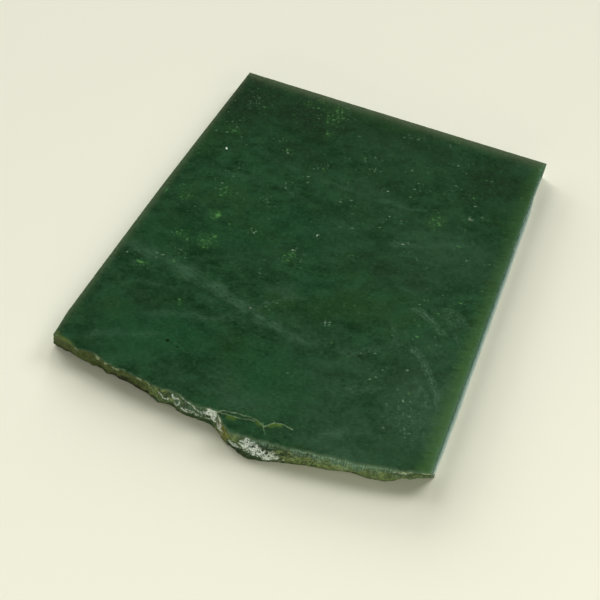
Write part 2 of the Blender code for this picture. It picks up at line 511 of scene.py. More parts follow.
    def chips(self) -> Array:
        """The small hollows between the large ones."""
        chance = np.random.default_rng(self.chip_seed)
        spans = [(0.0, self.block.width), (0.0, self.block.thickness)]
        spans += [self.chip_half_width, self.chip_half_height, self.chip_depth]
        return np.stack([chance.uniform(*span, self.chip_count) for span in spans], axis=1)

    def relief(self, across: Array, height: Array, level: Array) -> Array:
        """How far the face stands out of its straight columns at each point.

        A half sine makes the bulge. The large hollows, which are shallower at the rim, the small
        chips and a fine grain are taken off it, and upright fibres furrow its right part.

        Args:
            across: Distance across the slab.
            height: Height above the underside.
            level: 0 at the rim and 1 at the lip.

        Returns:
            The distance outwards.
        """
        taken = bowls(across, height, self.scoops())
        taken = taken * (self.rim_share + (1.0 - self.rim_share) * ease(level * 4.0))
        small = bowls(across, height, self.chips()) * (0.4 + 0.6 * ease(level * 6.0))
        grain = self.grain * fractal(across, height, self.grain_cell, 3, self.chip_seed + 1)
        fade_from, fade_run = self.fibre_fade
        fibrous = ease((across - self.fibre_from) / self.fibre_run)
        fibrous = fibrous * (1.0 - ease((level - fade_from) / fade_run))
        fibre = lattice(across, height * 0.08, self.fibre_width, self.chip_seed + 7)
        fibre = self.fibre_depth * fibre
        small = small * (1.0 - 0.75 * fibrous)
        return self.bulge * np.sin(math.pi * level) - taken - small + grain + fibre * fibrous

    def masks(self, across: Array, height: Array, level: Array) -> dict[str, Array]:
        """How much of each mineral shows at each point.

        A growth is full inside its oval and fades over a ragged border, where a fractal field is
        added to one less the point's distance in half sizes. A squiggle is full within its half
        width of its line.

        Args:
            across: Distance across the slab.
            height: Height above the underside.
            level: 0 at the rim and 1 at the lip.

        Returns:
            A mask from 0 to 1 for each mineral's name.
        """
        made = {mineral.value: np.zeros(across.shape) for mineral in Mineral}
        for order, growth in enumerate(self.growths):
            seed = self.growth_seed + 11 * order
            ragged = fractal(across, height * 1.6, self.growth_cell, 4, seed)
            aside = (across - growth.across) / growth.half_width
            away = np.hypot(aside, (level - growth.level) / growth.half_level)
            mask = ease((1.05 - away + growth.ragged * ragged) / self.growth_border)
            name = growth.mineral.value
            made[name] = np.maximum(made[name], growth.strength * mask)
        moved_x, moved_z = self.squiggle_stir.move(across, height)
        for squiggle in self.squiggles:
            gap = line_distance(moved_x, moved_z, np.array(squiggle.corners))
            mask = squiggle.strength * ease(1.6 - gap / squiggle.half_width)
            made[Mineral.CRUST.value] = np.maximum(made[Mineral.CRUST.value], mask)
        return made

    def crust_rise(self, across: Array, height: Array, crust: Array) -> Array:
        """Granular thickness of the white crust: lumps of about half a millimetre."""
        lumps = np.maximum(fractal(across, height, self.crust_lump, 3, self.crust_seed), -0.3)
        return self.crust_height * crust * (0.5 + lumps)


@dataclass(frozen=True)
class FlakeScar:
    """The shallow scar where a flake broke off the top of the front lobe."""

    # Across and reach of the broken edge, from left to right
    edge: Line = (
        (50.6, 140.0),
        (51.6, 132.4),
        (52.9, 130.7),
        (57.0, 130.2),
        (59.4, 129.8),
        (62.0, 129.9),
        (64.4, 130.9),
        (66.6, 128.8),
        (68.8, 128.3),
        (71.5, 128.7),
    )
    hinge_direction: Pair = (0.64, -0.768)
    slope: float = 0.04
    riser: float = 0.22
    second_edge: Line = (
        (52.6, 131.5),
        (54.0, 131.4),
        (55.6, 131.2),
        (57.2, 131.3),
        (58.6, 130.8),
        (60.2, 130.5),
        (61.6, 130.3),
    )
    second_until: float = 61.5
    branch: Line = ((64.4, 130.9), (64.9, 131.7), (65.5, 132.6))
    line_half_width: float = 0.11
    glow_reach: float = 1.5
    second_share: float = 0.45
    # Moves the points a little, so that the broken line isn't ruled
    stir: Stir = Stir(0.16, 0.9, 1, (811, 812))
    ripple_seed: int = 821
    ripple_cell: float = 2.2
    ripple_depth: float = 0.025
    ripple_from: float = 0.2
    patch_seed: int = 831
    glow_seed: int = 841
    # Where the mesh's rings run past the scar on either side, across and reach
    ring_guide_left: Line = (
        (-20.0, 121.8),
        (0.0, 123.9),
        (20.0, 126.6),
        (40.0, 128.4),
        (50.0, 130.1),
    )
    ring_guide_right: Line = (
        (77.0, 129.2),
        (86.0, 128.2),
        (98.0, 125.2),
        (108.0, 122.2),
        (128.0, 117.9),
    )

    def ring_reach(self, across: Array) -> Array:
        """Reach of the line that the mesh's rings follow, which is the broken edge itself."""
        guide = np.array(self.ring_guide_left + self.edge[2:] + self.ring_guide_right)
        return np.interp(across, guide[:, 0], guide[:, 1])

    def inside(self, x: Array, y: Array) -> Array:
        """Whether each point lies between the broken edge, the front and the hinge line."""
        edge = np.array(self.edge)
        limit = np.interp(x, edge[1:, 0], edge[1:, 1], left=1e3, right=edge[-1, 1])
        return (-y > limit) & (self.away(x, y) > 0.0)

    def away(self, x: Array, y: Array) -> Array:
        """Distance from the hinge line, above zero on the scar's side."""
        hinge_x, hinge_reach = self.edge[-1]
        along_x, along_y = self.hinge_direction
        return (x - hinge_x) * along_y - (y + hinge_reach) * along_x

    def sink(self, x: Array, y: Array) -> Array:
        """Depth of the scar below the top: its slope times the distance from the hinge line.

        The depth comes in over the riser at the broken edge, and between the broken edge and the
        second one only a share of it is there.

        Args:
            x: Distance across the slab.
            y: Distance towards the back.

        Returns:
            The depth at each point.
        """
        second = on_slab(self.second_edge)
        near_x, near_y = self.stir.move(x, y)
        inside = self.inside(near_x, near_y)
        gap = line_distance(near_x, near_y, on_slab(self.edge))
        depth = self.slope * np.maximum(self.away(x, y), 0.0) * ease(gap / self.riser)
        limit = np.interp(near_x, second[:, 0], -second[:, 1])
        before_second = (-near_y < limit) & (near_x < self.second_until)
        second_gap = line_distance(near_x, near_y, second)
        share = self.second_share
        step = np.where(before_second, share, share + (1.0 - share) * ease(second_gap / self.riser))
        step = np.where(near_x < self.second_until, step, 1.0)
        ripple = self.ripple_depth * fractal(x, y, self.ripple_cell, 2, self.ripple_seed)
        ripple = ripple * ease(depth / self.ripple_from)
        return np.where(inside, depth * step + ripple, 0.0)

    def masks(self, x: Array, y: Array) -> dict[str, Array]:
        """Masks of the pale broken line, of the lit rim below it and of the scar as a whole."""
        near_x, near_y = self.stir.move(x, y)
        main, second, branch = (
            line_distance(near_x, near_y, on_slab(line))
            for line in (self.edge[1:], self.second_edge, self.branch)
        )
        patchy = 0.75 + 0.35 * lattice(x, y, 0.7, self.patch_seed)
        line = ease(1.7 - main / self.line_half_width)
        line = np.maximum(line, 0.85 * ease(1.7 - second / self.line_half_width))
        line = np.maximum(line, 0.6 * ease(1.5 - branch / self.line_half_width))
        inside = self.inside(near_x, near_y)
        table = np.array(self.second_edge)
        past_second = -near_y > np.interp(near_x, table[:, 0], table[:, 1])
        left = near_x < self.second_until
        below = np.where(left, second, main)
        glow = np.where(inside & (past_second | ~left), ease(1.0 - below / self.glow_reach), 0.0)
        glow = glow * ease(0.5 + 1.5 * fractal(x, y, 2.4, 2, self.glow_seed))
        return {
            "crack_line": np.clip(line * patchy, 0.0, 1.0),
            "crack_glow": np.clip(glow, 0.0, 1.0),
            "scar": inside * ease(main / 0.3),
        }


@dataclass(frozen=True)
class Oval:
    """A soft oval on the top: middle across, middle reach, half length, half width, turn."""

    across: float
    reach: float
    half_length: float
    half_width: float
    turn: float = 0.0
    strength: float = 1.0
    core: float = 0.15

    def mask(self, x: Array, y: Array) -> Array:
        """Strength of the oval at each point.

        The point is turned with the oval and divided by its half sizes, and the strength eases
        from nothing at a length of 1 to the whole at the core's length.

        Args:
            x: Distance across the slab.
            y: Distance towards the back.

        Returns:
            The strength at each point.
        """
        turn = math.radians(self.turn)
        away_x, away_y = x - self.across, y + self.reach
        along = away_x * math.cos(turn) + away_y * math.sin(turn)
        aside = away_y * math.cos(turn) - away_x * math.sin(turn)
        length = np.hypot(along / self.half_length, aside / self.half_width)
        return self.strength * ease((1.0 - length) / (1.0 - self.core))


def oval_table(*rows: tuple[float, ...]) -> tuple[Oval, ...]:
    """Ovals from rows of their fields in order."""
    return tuple(Oval(*row) for row in rows)


@dataclass(frozen=True)
class Vein:
    """A pale vein: a run of corners (across, reach, half width, strength)."""

    corners: tuple[tuple[float, float, float, float], ...]

    def ovals(self) -> list[Oval]:
        """One long oval for each stretch between corners, overlapping at the corners."""
        made = []
        for first, last in zip(self.corners, self.corners[1:]):
            x, y = last[0] - first[0], first[1] - last[1]
            middle = [(first[k] + last[k]) / 2.0 for k in range(4)]
            half_length = math.hypot(x, y) * 0.68 + middle[2] * 0.4
            turn = math.degrees(math.atan2(y, x))
            made.append(Oval(middle[0], middle[1], half_length, middle[2], turn, middle[3], 0.1))
        return made


@dataclass(frozen=True)
class TopPattern:
    """Where the top's colours, veins and flecks lie."""

    broad_stir: Stir = Stir(2.2, 7.0, 3, (901, 911))
    close_stir: Stir = Stir(0.9, 3.4, 2, (921, 931))
    emerald_zones: tuple[Oval, ...] = oval_table(
        (26.0, 116.0, 24.0, 13.0, 8.0, 0.8), (60.0, 114.0, 18.0, 12.0, -5.0, 0.7),
        (56.0, 84.0, 14.0, 8.0, 30.0, 0.5), (30.0, 76.0, 22.0, 12.0, 0.0, 0.4),
        (12.0, 80.0, 16.0, 12.0, 0.0, 0.35), (50.0, 62.0, 26.0, 14.0, 10.0, 0.5),
    )
    brown_zones: tuple[Oval, ...] = oval_table(
        (6.0, 13.0, 22.0, 26.0, 0.0, 1.0), (94.0, 16.0, 22.0, 20.0, 0.0, 0.8),
        (66.0, 30.0, 24.0, 16.0, 10.0, 0.35), (78.0, 66.0, 18.0, 8.0, -20.0, 0.4),
        (92.0, 98.0, 14.0, 8.0, -30.0, 0.3), (30.0, 12.0, 30.0, 18.0, 0.0, 0.95),
        (62.0, 10.0, 34.0, 12.0, 0.0, 0.7), (36.0, 32.0, 26.0, 12.0, 0.0, 0.5),
        (75.0, 68.0, 6.0, 5.0, 0.0, 0.7), (77.0, 100.0, 4.0, 5.0, 0.0, 0.6),
        (15.0, 107.0, 7.0, 4.0, 0.0, 0.7),
    )
    olive_zones: tuple[Oval, ...] = oval_table(
        (70.0, 85.0, 19.0, 8.5, 22.0, 0.9), (83.0, 42.0, 6.5, 5.0, 0.0, 0.8),
        (52.0, 91.0, 8.0, 5.5, 0.0, 0.6), (55.0, 5.0, 30.0, 7.0, 0.0, 0.5),
        (46.0, 112.0, 10.0, 7.0, 0.0, 0.4),
    )
    # Paler greyish patches: partly the stone's own tone, partly a painted reflection of the bright
    # surroundings
    haze_zones: tuple[Oval, ...] = oval_table(
        (88.0, 55.0, 22.0, 24.0, 0.0, 0.5), (80.0, 108.0, 26.0, 16.0, 10.0, 0.4),
        (60.0, 18.0, 20.0, 12.0, 0.0, 0.3), (40.0, 78.0, 20.0, 8.0, 20.0, 0.25),
        (54.0, 125.0, 16.0, 5.0, 0.0, 0.6), (62.0, 38.0, 9.0, 6.0, 0.0, 0.6),
        (57.0, 56.0, 16.0, 13.0, 0.0, 0.35), (100.0, 110.0, 18.0, 22.0, 0.0, 1.0),
        (96.0, 92.0, 12.0, 12.0, 0.0, 0.35), (103.0, 5.0, 8.0, 7.0, 0.0, 0.45),
        (102.0, 52.0, 12.0, 12.0, 0.0, 0.55), (64.0, 44.0, 28.0, 12.0, 0.0, 0.25),
        (60.0, 63.0, 16.0, 12.0, 0.0, 0.35), (50.0, 87.0, 7.0, 5.0, 30.0, 0.7),
        (70.0, 100.0, 26.0, 9.0, -10.0, 0.35), (50.0, 122.0, 9.0, 7.0, 0.0, 0.45),
        (82.0, 121.0, 22.0, 8.0, 0.0, 0.5), (85.0, 129.5, 27.0, 7.0, 0.0, 0.9),
        (37.0, 128.0, 8.0, 6.0, 0.0, 0.35),
    )
    dark_zones: tuple[Oval, ...] = oval_table(
        (44.0, 33.0, 6.0, 5.0, 0.0, 0.8), (26.0, 33.0, 8.0, 4.0, 0.0, 0.55),
        (98.0, 65.0, 9.0, 3.5, 35.0, 0.7), (57.0, 92.0, 6.0, 4.0, 30.0, 0.8),
        (20.0, 102.0, 16.0, 5.0, 8.0, 0.6), (80.0, 99.0, 5.0, 3.0, 30.0, 0.8),
        (10.0, 122.0, 8.0, 3.5, -10.0, 0.4), (92.0, 112.0, 10.0, 4.0, 30.0, 0.2),
        (46.0, 104.0, 8.0, 3.0, 20.0, 0.4),
    )
    veins: tuple[Vein, ...] = (
        Vein(((1.0, 89.8, 2.6, 0.3), (16.0, 91.4, 3.8, 0.5), (29.0, 93.4, 3.5, 0.55),
              (38.0, 95.9, 2.6, 0.55), (45.0, 98.8, 2.0, 0.65), (51.0, 100.7, 1.9, 0.6),
              (58.0, 101.3, 2.0, 0.45), (66.5, 101.5, 1.8, 0.4))),
        Vein(((45.0, 101.5, 1.4, 0.28), (38.0, 104.2, 1.5, 0.3), (27.0, 107.8, 1.8, 0.32),
              (17.0, 112.5, 1.6, 0.25))),
        Vein(((27.0, 115.5, 1.4, 0.1), (18.5, 118.8, 1.6, 0.2), (7.0, 124.5, 1.6, 0.15))),
        Vein(((46.5, 97.0, 1.2, 0.2), (50.0, 92.8, 1.3, 0.15), (57.0, 87.4, 1.2, 0.15),
              (65.0, 81.0, 1.0, 0.08),
              (76.0, 75.0, 1.4, 0.15), (88.0, 69.5, 1.8, 0.25))),
        Vein(((24.0, 38.0, 1.0, 0.2), (40.0, 39.8, 0.9, 0.3), (59.0, 40.8, 0.9, 0.45),
              (80.0, 39.6, 1.2, 0.3))),
        Vein(((12.0, 52.0, 1.5, 0.15), (30.0, 47.0, 1.4, 0.25), (46.0, 52.0, 1.3, 0.25))),
        Vein(((70.0, 58.0, 1.5, 0.2), (84.0, 53.0, 1.6, 0.3), (96.0, 46.0, 1.6, 0.25))),
        Vein(((78.0, 127.0, 1.6, 0.3), (85.0, 123.0, 1.7, 0.4), (92.0, 121.0, 1.5, 0.35))),
        Vein(((8.0, 103.0, 1.0, 0.2), (24.0, 99.0, 1.1, 0.25), (38.0, 99.5, 0.9, 0.2))),
    )
    green_clusters: tuple[Oval, ...] = oval_table(
        (36.5, 9.0, 6.0, 10.0, 0.0, 0.6), (31.0, 3.0, 5.0, 3.0, 0.0, 0.35),
        (38.5, 19.0, 2.5, 3.5, 0.0, 0.7), (27.0, 6.5, 2.5, 3.5, 0.0, 0.5),
        (9.0, 31.0, 2.5, 2.0, 0.0, 0.9), (29.0, 33.0, 2.0, 2.0, 0.0, 0.6),
        (21.0, 68.5, 3.0, 2.6, 0.0, 1.0), (8.5, 65.5, 3.6, 2.6, 0.0, 1.0),
        (1.5, 65.0, 1.0, 2.0, 0.0, 0.7), (23.0, 79.5, 4.2, 5.0, 0.0, 0.9),
        (15.0, 80.5, 4.0, 3.0, 0.0, 0.75), (47.0, 75.0, 2.8, 3.4, 0.0, 0.9),
        (9.4, 95.2, 2.2, 1.1, 0.0, 1.0), (26.0, 103.0, 1.0, 1.0, 0.0, 0.9),
        (83.0, 42.0, 4.0, 6.0, 0.0, 0.45), (79.0, 3.0, 4.0, 2.0, 0.0, 0.5),
        (19.0, 58.0, 5.0, 3.5, 0.0, 0.45), (63.0, 67.0, 4.0, 3.0, 0.0, 0.35),
    )
    pale_clusters: tuple[Oval, ...] = oval_table(
        (65.5, 7.5, 4.5, 2.5, -20.0, 0.75), (81.5, 12.0, 2.0, 1.8, 0.0, 0.8),
        (98.0, 11.0, 3.0, 2.0, 0.0, 0.5), (69.5, 22.0, 2.4, 1.4, 0.0, 0.9),
        (58.0, 28.5, 2.6, 2.6, 0.0, 0.75), (64.5, 36.0, 2.8, 1.6, 0.0, 0.7),
        (74.0, 29.5, 3.0, 2.5, 0.0, 0.55), (92.5, 36.5, 2.6, 1.8, 30.0, 1.0),
        (35.5, 47.0, 2.0, 0.9, 20.0, 0.9), (32.0, 56.0, 3.0, 4.0, 0.0, 0.55),
        (77.0, 55.5, 4.6, 2.4, -20.0, 0.8), (34.0, 71.0, 3.6, 1.4, -10.0, 0.95),
        (48.0, 72.0, 1.7, 1.3, 0.0, 1.0), (66.3, 93.0, 0.9, 1.3, 0.0, 1.0),
        (82.0, 110.0, 3.0, 1.3, 0.0, 0.7), (92.5, 118.3, 1.8, 1.0, 0.0, 1.0),
        (88.0, 101.5, 2.6, 1.6, 40.0, 0.5), (96.0, 88.0, 5.0, 4.0, 0.0, 0.15),
        (97.0, 112.0, 9.0, 12.0, 0.0, 0.3), (43.0, 33.5, 4.0, 3.5, 0.0, 0.5),
        (10.0, 14.0, 6.0, 5.0, 0.0, 0.4), (29.0, 32.0, 1.5, 1.5, 0.0, 0.7),
    )

    def masks(self, x: Array, y: Array) -> dict[str, Array]:
        """How strongly each feature of the top shows at each point.

        The points are first moved about by two random fields, so that no oval keeps its outline,
        and each feature is the strongest of its ovals.

        Args:
            x: Distance across the slab.
            y: Distance towards the back.

        Returns:
            A mask from 0 to 1 for each feature's name.
        """
        broad, close = self.broad_stir.move(x, y), self.close_stir.move(x, y)
        veins = [oval for vein in self.veins for oval in vein.ovals()]
        features = {
            "emerald_zone": (self.emerald_zones, broad),
            "brown_zone": (self.brown_zones, broad),
            "olive_zone": (self.olive_zones, broad),
            "haze_zone": (self.haze_zones, broad),
            "dark_zone": (self.dark_zones, broad),
            "vein": (veins, close),
            "green_cluster": (self.green_clusters, close),
            "pale_cluster": (self.pale_clusters, close),
        }
        return {
            name: np.max([oval.mask(*moved) for oval in ovals], axis=0)
            for name, (ovals, moved) in features.items()
        }


@dataclass(frozen=True)
class Wisp:
    """A thin pale line on the top: its strength and its corners (across, reach)."""

    strength: float
    corners: Line

    def signed_distance(self, x: Array, y: Array) -> tuple[Array, Array]:
        """Distance from the line, above zero on its back side and below zero on its front side.

        Args:
            x: Distance across the slab.
            y: Distance towards the back.

        Returns:
            The distance of each point with its sign, and the same without.
        """
        gap, side = line_gaps(x, y, on_slab(self.corners))
        nearest = np.argmin(gap, axis=-1)[..., None]
        distance = np.take_along_axis(gap, nearest, axis=-1)[..., 0]
        return np.take_along_axis(side, nearest, axis=-1)[..., 0] * distance, distance


@dataclass(frozen=True)
class Wisps:
    """The top's thin pale lines, in two sets so that the lines of each lie well apart."""

    sets: tuple[tuple[Wisp, ...], ...] = (
        (
            Wisp(1.0, ((88.5, 78.0), (91.0, 78.3), (93.5, 80.0), (96.0, 82.0), (98.5, 83.0))),
            Wisp(0.6, ((101.0, 76.0), (103.0, 77.5), (105.5, 77.0))),
            Wisp(0.9, ((92.0, 91.5), (95.5, 94.0), (97.5, 97.0), (99.0, 99.0), (100.5, 100.5),
                        (102.3, 104.5))),
            Wisp(0.5, ((76.0, 100.5), (79.0, 98.5), (82.0, 95.5))),
            Wisp(0.5, ((81.0, 110.5), (83.5, 110.0), (86.0, 108.5))),
            Wisp(0.35, ((90.0, 66.3), (94.0, 66.5))),
            Wisp(0.4, ((30.0, 93.6), (36.0, 95.4), (42.0, 96.4), (46.0, 97.2), (50.0, 98.6),
                        (55.0, 99.8), (60.0, 101.4))),
            Wisp(0.3, ((40.0, 104.5), (36.0, 106.0), (32.0, 107.5), (27.0, 108.5), (24.0, 110.5),
                       (21.0, 112.5))),
            Wisp(0.3, ((26.0, 116.5), (21.0, 119.0), (16.0, 121.0), (13.0, 122.5), (9.0, 125.0))),
            Wisp(0.25, ((52.0, 91.0), (54.0, 89.0), (57.0, 88.0))),
            Wisp(0.35, ((78.0, 127.0), (85.0, 123.0), (92.0, 121.3))),
        ),
        (
            Wisp(0.6, ((96.5, 74.2), (100.0, 74.6), (101.0, 75.3))),
            Wisp(0.4, ((84.0, 86.0), (86.0, 89.0))),
            Wisp(0.3, ((20.0, 94.5), (28.0, 95.5), (36.0, 97.0), (41.0, 98.0))),
            Wisp(0.3, ((46.5, 97.0), (48.0, 94.5), (50.0, 92.5))),
            Wisp(0.25, ((49.0, 99.5), (44.0, 103.0), (40.0, 104.5))),
            Wisp(0.45, ((93.0, 76.0), (96.0, 77.5), (98.0, 76.8), (101.0, 79.0))),
            Wisp(0.4, ((99.0, 80.0), (101.5, 82.5), (103.5, 86.0))),
            Wisp(0.35, ((96.0, 101.0), (99.0, 104.0), (101.0, 108.5))),
            Wisp(0.3, ((87.0, 93.0), (90.5, 92.2), (94.0, 91.0))),
        ),
    )
    reach: float = 2.2

    def masks(self, x: Array, y: Array) -> dict[str, Array]:
        """For each set, the signed distance from its nearest line and how strong that line is.

        A signed distance keeps a line sharp between the mesh's points, since it passes through
        zero on the line. The strength fades out within the reach, also past the line's ends.

        Args:
            x: Distance across the slab.
            y: Distance towards the back.

        Returns:
            The two numbers by name for each set.
        """
        made = {}
        for number, wisps in enumerate(self.sets):
            found = [wisp.signed_distance(x, y) for wisp in wisps]
            signed, plain = (np.stack(parts) for parts in zip(*found))
            nearest = np.argmin(plain, axis=0)[None]
            gap = np.take_along_axis(signed, nearest, axis=0)[0]
            strength = np.array([wisp.strength for wisp in wisps])[nearest[0]]
            made[f"wisp_gap_{number}"] = np.clip(gap, -2.5, 2.5)
            made[f"wisp_near_{number}"] = strength * ease(1.6 - np.abs(gap) / self.reach)
        return made


@dataclass(frozen=True)
class RimChips:
    """Small chips knocked out of the top rim, which bite into the top and the wall alike."""

    seed: int = 613
    # First and last place along the outline as a share of it, chips, half length, depth
    runs: tuple[tuple[float, float, int, Pair, Pair], ...] = (
        (0.0, 0.27, 26, (0.2, 0.6), (0.02, 0.06)),
        (0.272, 0.5, 90, (0.25, 1.2), (0.04, 0.2)),
        (0.5, 0.77, 60, (0.2, 0.5), (0.03, 0.1)),
        (0.6, 0.68, 10, (0.3, 0.7), (0.06, 0.16)),
        (0.77, 1.0, 26, (0.2, 0.6), (0.02, 0.06)),
    )
    reach: float = 0.32
    fall: float = 1.0

    def table(self, length: float) -> Array:
        """Every chip: place along the outline, half length, depth into the top and the wall."""
        chance = np.random.default_rng(self.seed)
        rows = []
        for first, last, count, half_length, depth in self.runs:
            place = chance.uniform(first, last, count) * length
            half = chance.uniform(*half_length, count)
            into_top = chance.uniform(*depth, count)
            into_wall = chance.uniform(*depth, count)
            rows.append(np.stack([place, half, into_top, into_wall], axis=1))
        return np.concatenate(rows)

    def bite(self, along: Array, away: Array, length: float, wall: bool) -> Array:
        """Depth of the chips at points near the rim.

        Args:
            along: Place along the outline.
            away: Distance from the rim, over the top or down the wall.
            length: Length of the outline.
            wall: Whether the points are on the wall.

        Returns:
            The deepest chip's depth at each point.
        """
        column = 3 if wall else 2
        extent = self.fall if wall else self.reach
        deepest = np.zeros(np.broadcast(along, away).shape)
        for row in self.table(length):
            span = extent * (0.5 + row[1])
            bowl = row[column] * (1.0 - ((along - row[0]) / row[1]) ** 2 - (away / span) ** 2)
            np.maximum(deepest, bowl, out=deepest)
        return deepest


class Face(Enum):
    """The slab's kinds of surface. Each value is the place of its finish on the mesh."""

    POLISHED = 0
    SAWN = 1
    RIND = 2


class Shell:
    """Collects rows of points and the faces between them, and makes one closed mesh of them."""

    def __init__(self) -> None:
        """Starts with no points."""
        self.points: list[Array] = []
        self.marks: list[tuple[int, int, dict[str, Array]]] = []
        self.faces: dict[int, list[tuple[Array, Array]]] = {3: [], 4: []}
        self.count = 0

    def row(self, points: Array, marks: dict[str, Array] | None = None) -> Array:
        """Adds points with their masks.

        Args:
            points: One row per point.
            marks: Values of named masks for the points.

        Returns:
            The points' numbers.
        """
        first = self.count
        self.points.append(points)
        self.count += len(points)
        self.marks.append((first, self.count, marks or {}))
        return np.arange(first, self.count)

    def add(self, corners: list[Array], kind: Array) -> None:
        """Adds faces whose corners are given list by list, each with its kind of surface."""
        self.faces[len(corners)].append((np.stack(corners, axis=1), kind))

    def band(self, outer: Array, inner: Array, kind: Array) -> None:
        """Joins two closed rows with a band of faces, which face right of the way the rows run.

        An inner row of half the length takes three triangles for each of its stretches, and a row
        of one point is the pole of a fan.

        Args:
            outer: Numbers of the first row's points.
            inner: Numbers of the second row's points.
            kind: Kind of surface of each stretch of the first row.
        """
        onward = np.roll(outer, -1)
        if len(inner) == len(outer):
            self.add([outer, onward, np.roll(inner, -1), inner], kind)
        elif len(inner) == 1:
            self.add([outer, onward, np.full(len(outer), inner[0])], kind)
        else:
            even, odd, after = outer[0::2], outer[1::2], np.roll(outer, -2)[0::2]
            inner_onward = np.roll(inner, -1)
            self.add([even, odd, inner], kind[0::2])
            self.add([odd, inner_onward, inner], kind[0::2])
            self.add([odd, after, inner_onward], kind[1::2])

    def mesh(self, name: str, origin: Array, low: Array, high: Array) -> bpy.types.Mesh:
        """Makes the mesh in metres, kept within a box.

        Args:
            name: The mesh's name.
            origin: Where the back left corner lies, in millimetres.
            low: The box's lowest corner in metres.
            high: The box's highest corner in metres.

        Returns:
            The mesh, with its masks as attributes.
        """
        points = np.clip((np.concatenate(self.points) + origin) * MM, low, high)
        sets = [*self.faces[3], *self.faces[4]]
        size = np.concatenate([np.full(len(kind), corners.shape[1]) for corners, kind in sets])
        corner = np.concatenate([corners.ravel() for corners, _ in sets]).astype(np.int32)
        kinds = np.concatenate([kind for _, kind in sets]).astype(np.int32)
        mesh = bpy.data.meshes.new(name)
        mesh.vertices.add(len(points))
        mesh.vertices.foreach_set("co", points.astype(np.float32).ravel())
        mesh.loops.add(len(corner))
        mesh.loops.foreach_set("vertex_index", corner)
        mesh.polygons.add(len(size))
        mesh.polygons.foreach_set("loop_start", (np.cumsum(size) - size).astype(np.int32))
        mesh.polygons.foreach_set("material_index", kinds)
        mesh.polygons.foreach_set("use_smooth", np.ones(len(size), dtype=bool))
        for mask in sorted({mask for *_, marks in self.marks for mask in marks}):
            values = np.zeros(self.count, dtype=np.float32)
            for first, last, marks in self.marks:
                values[first:last] = marks.get(mask, 0.0)
            mesh.attributes.new(mask, "FLOAT", "POINT").data.foreach_set("value", values)
        mesh.update(calc_edges=True)
        mesh.validate()
        return mesh


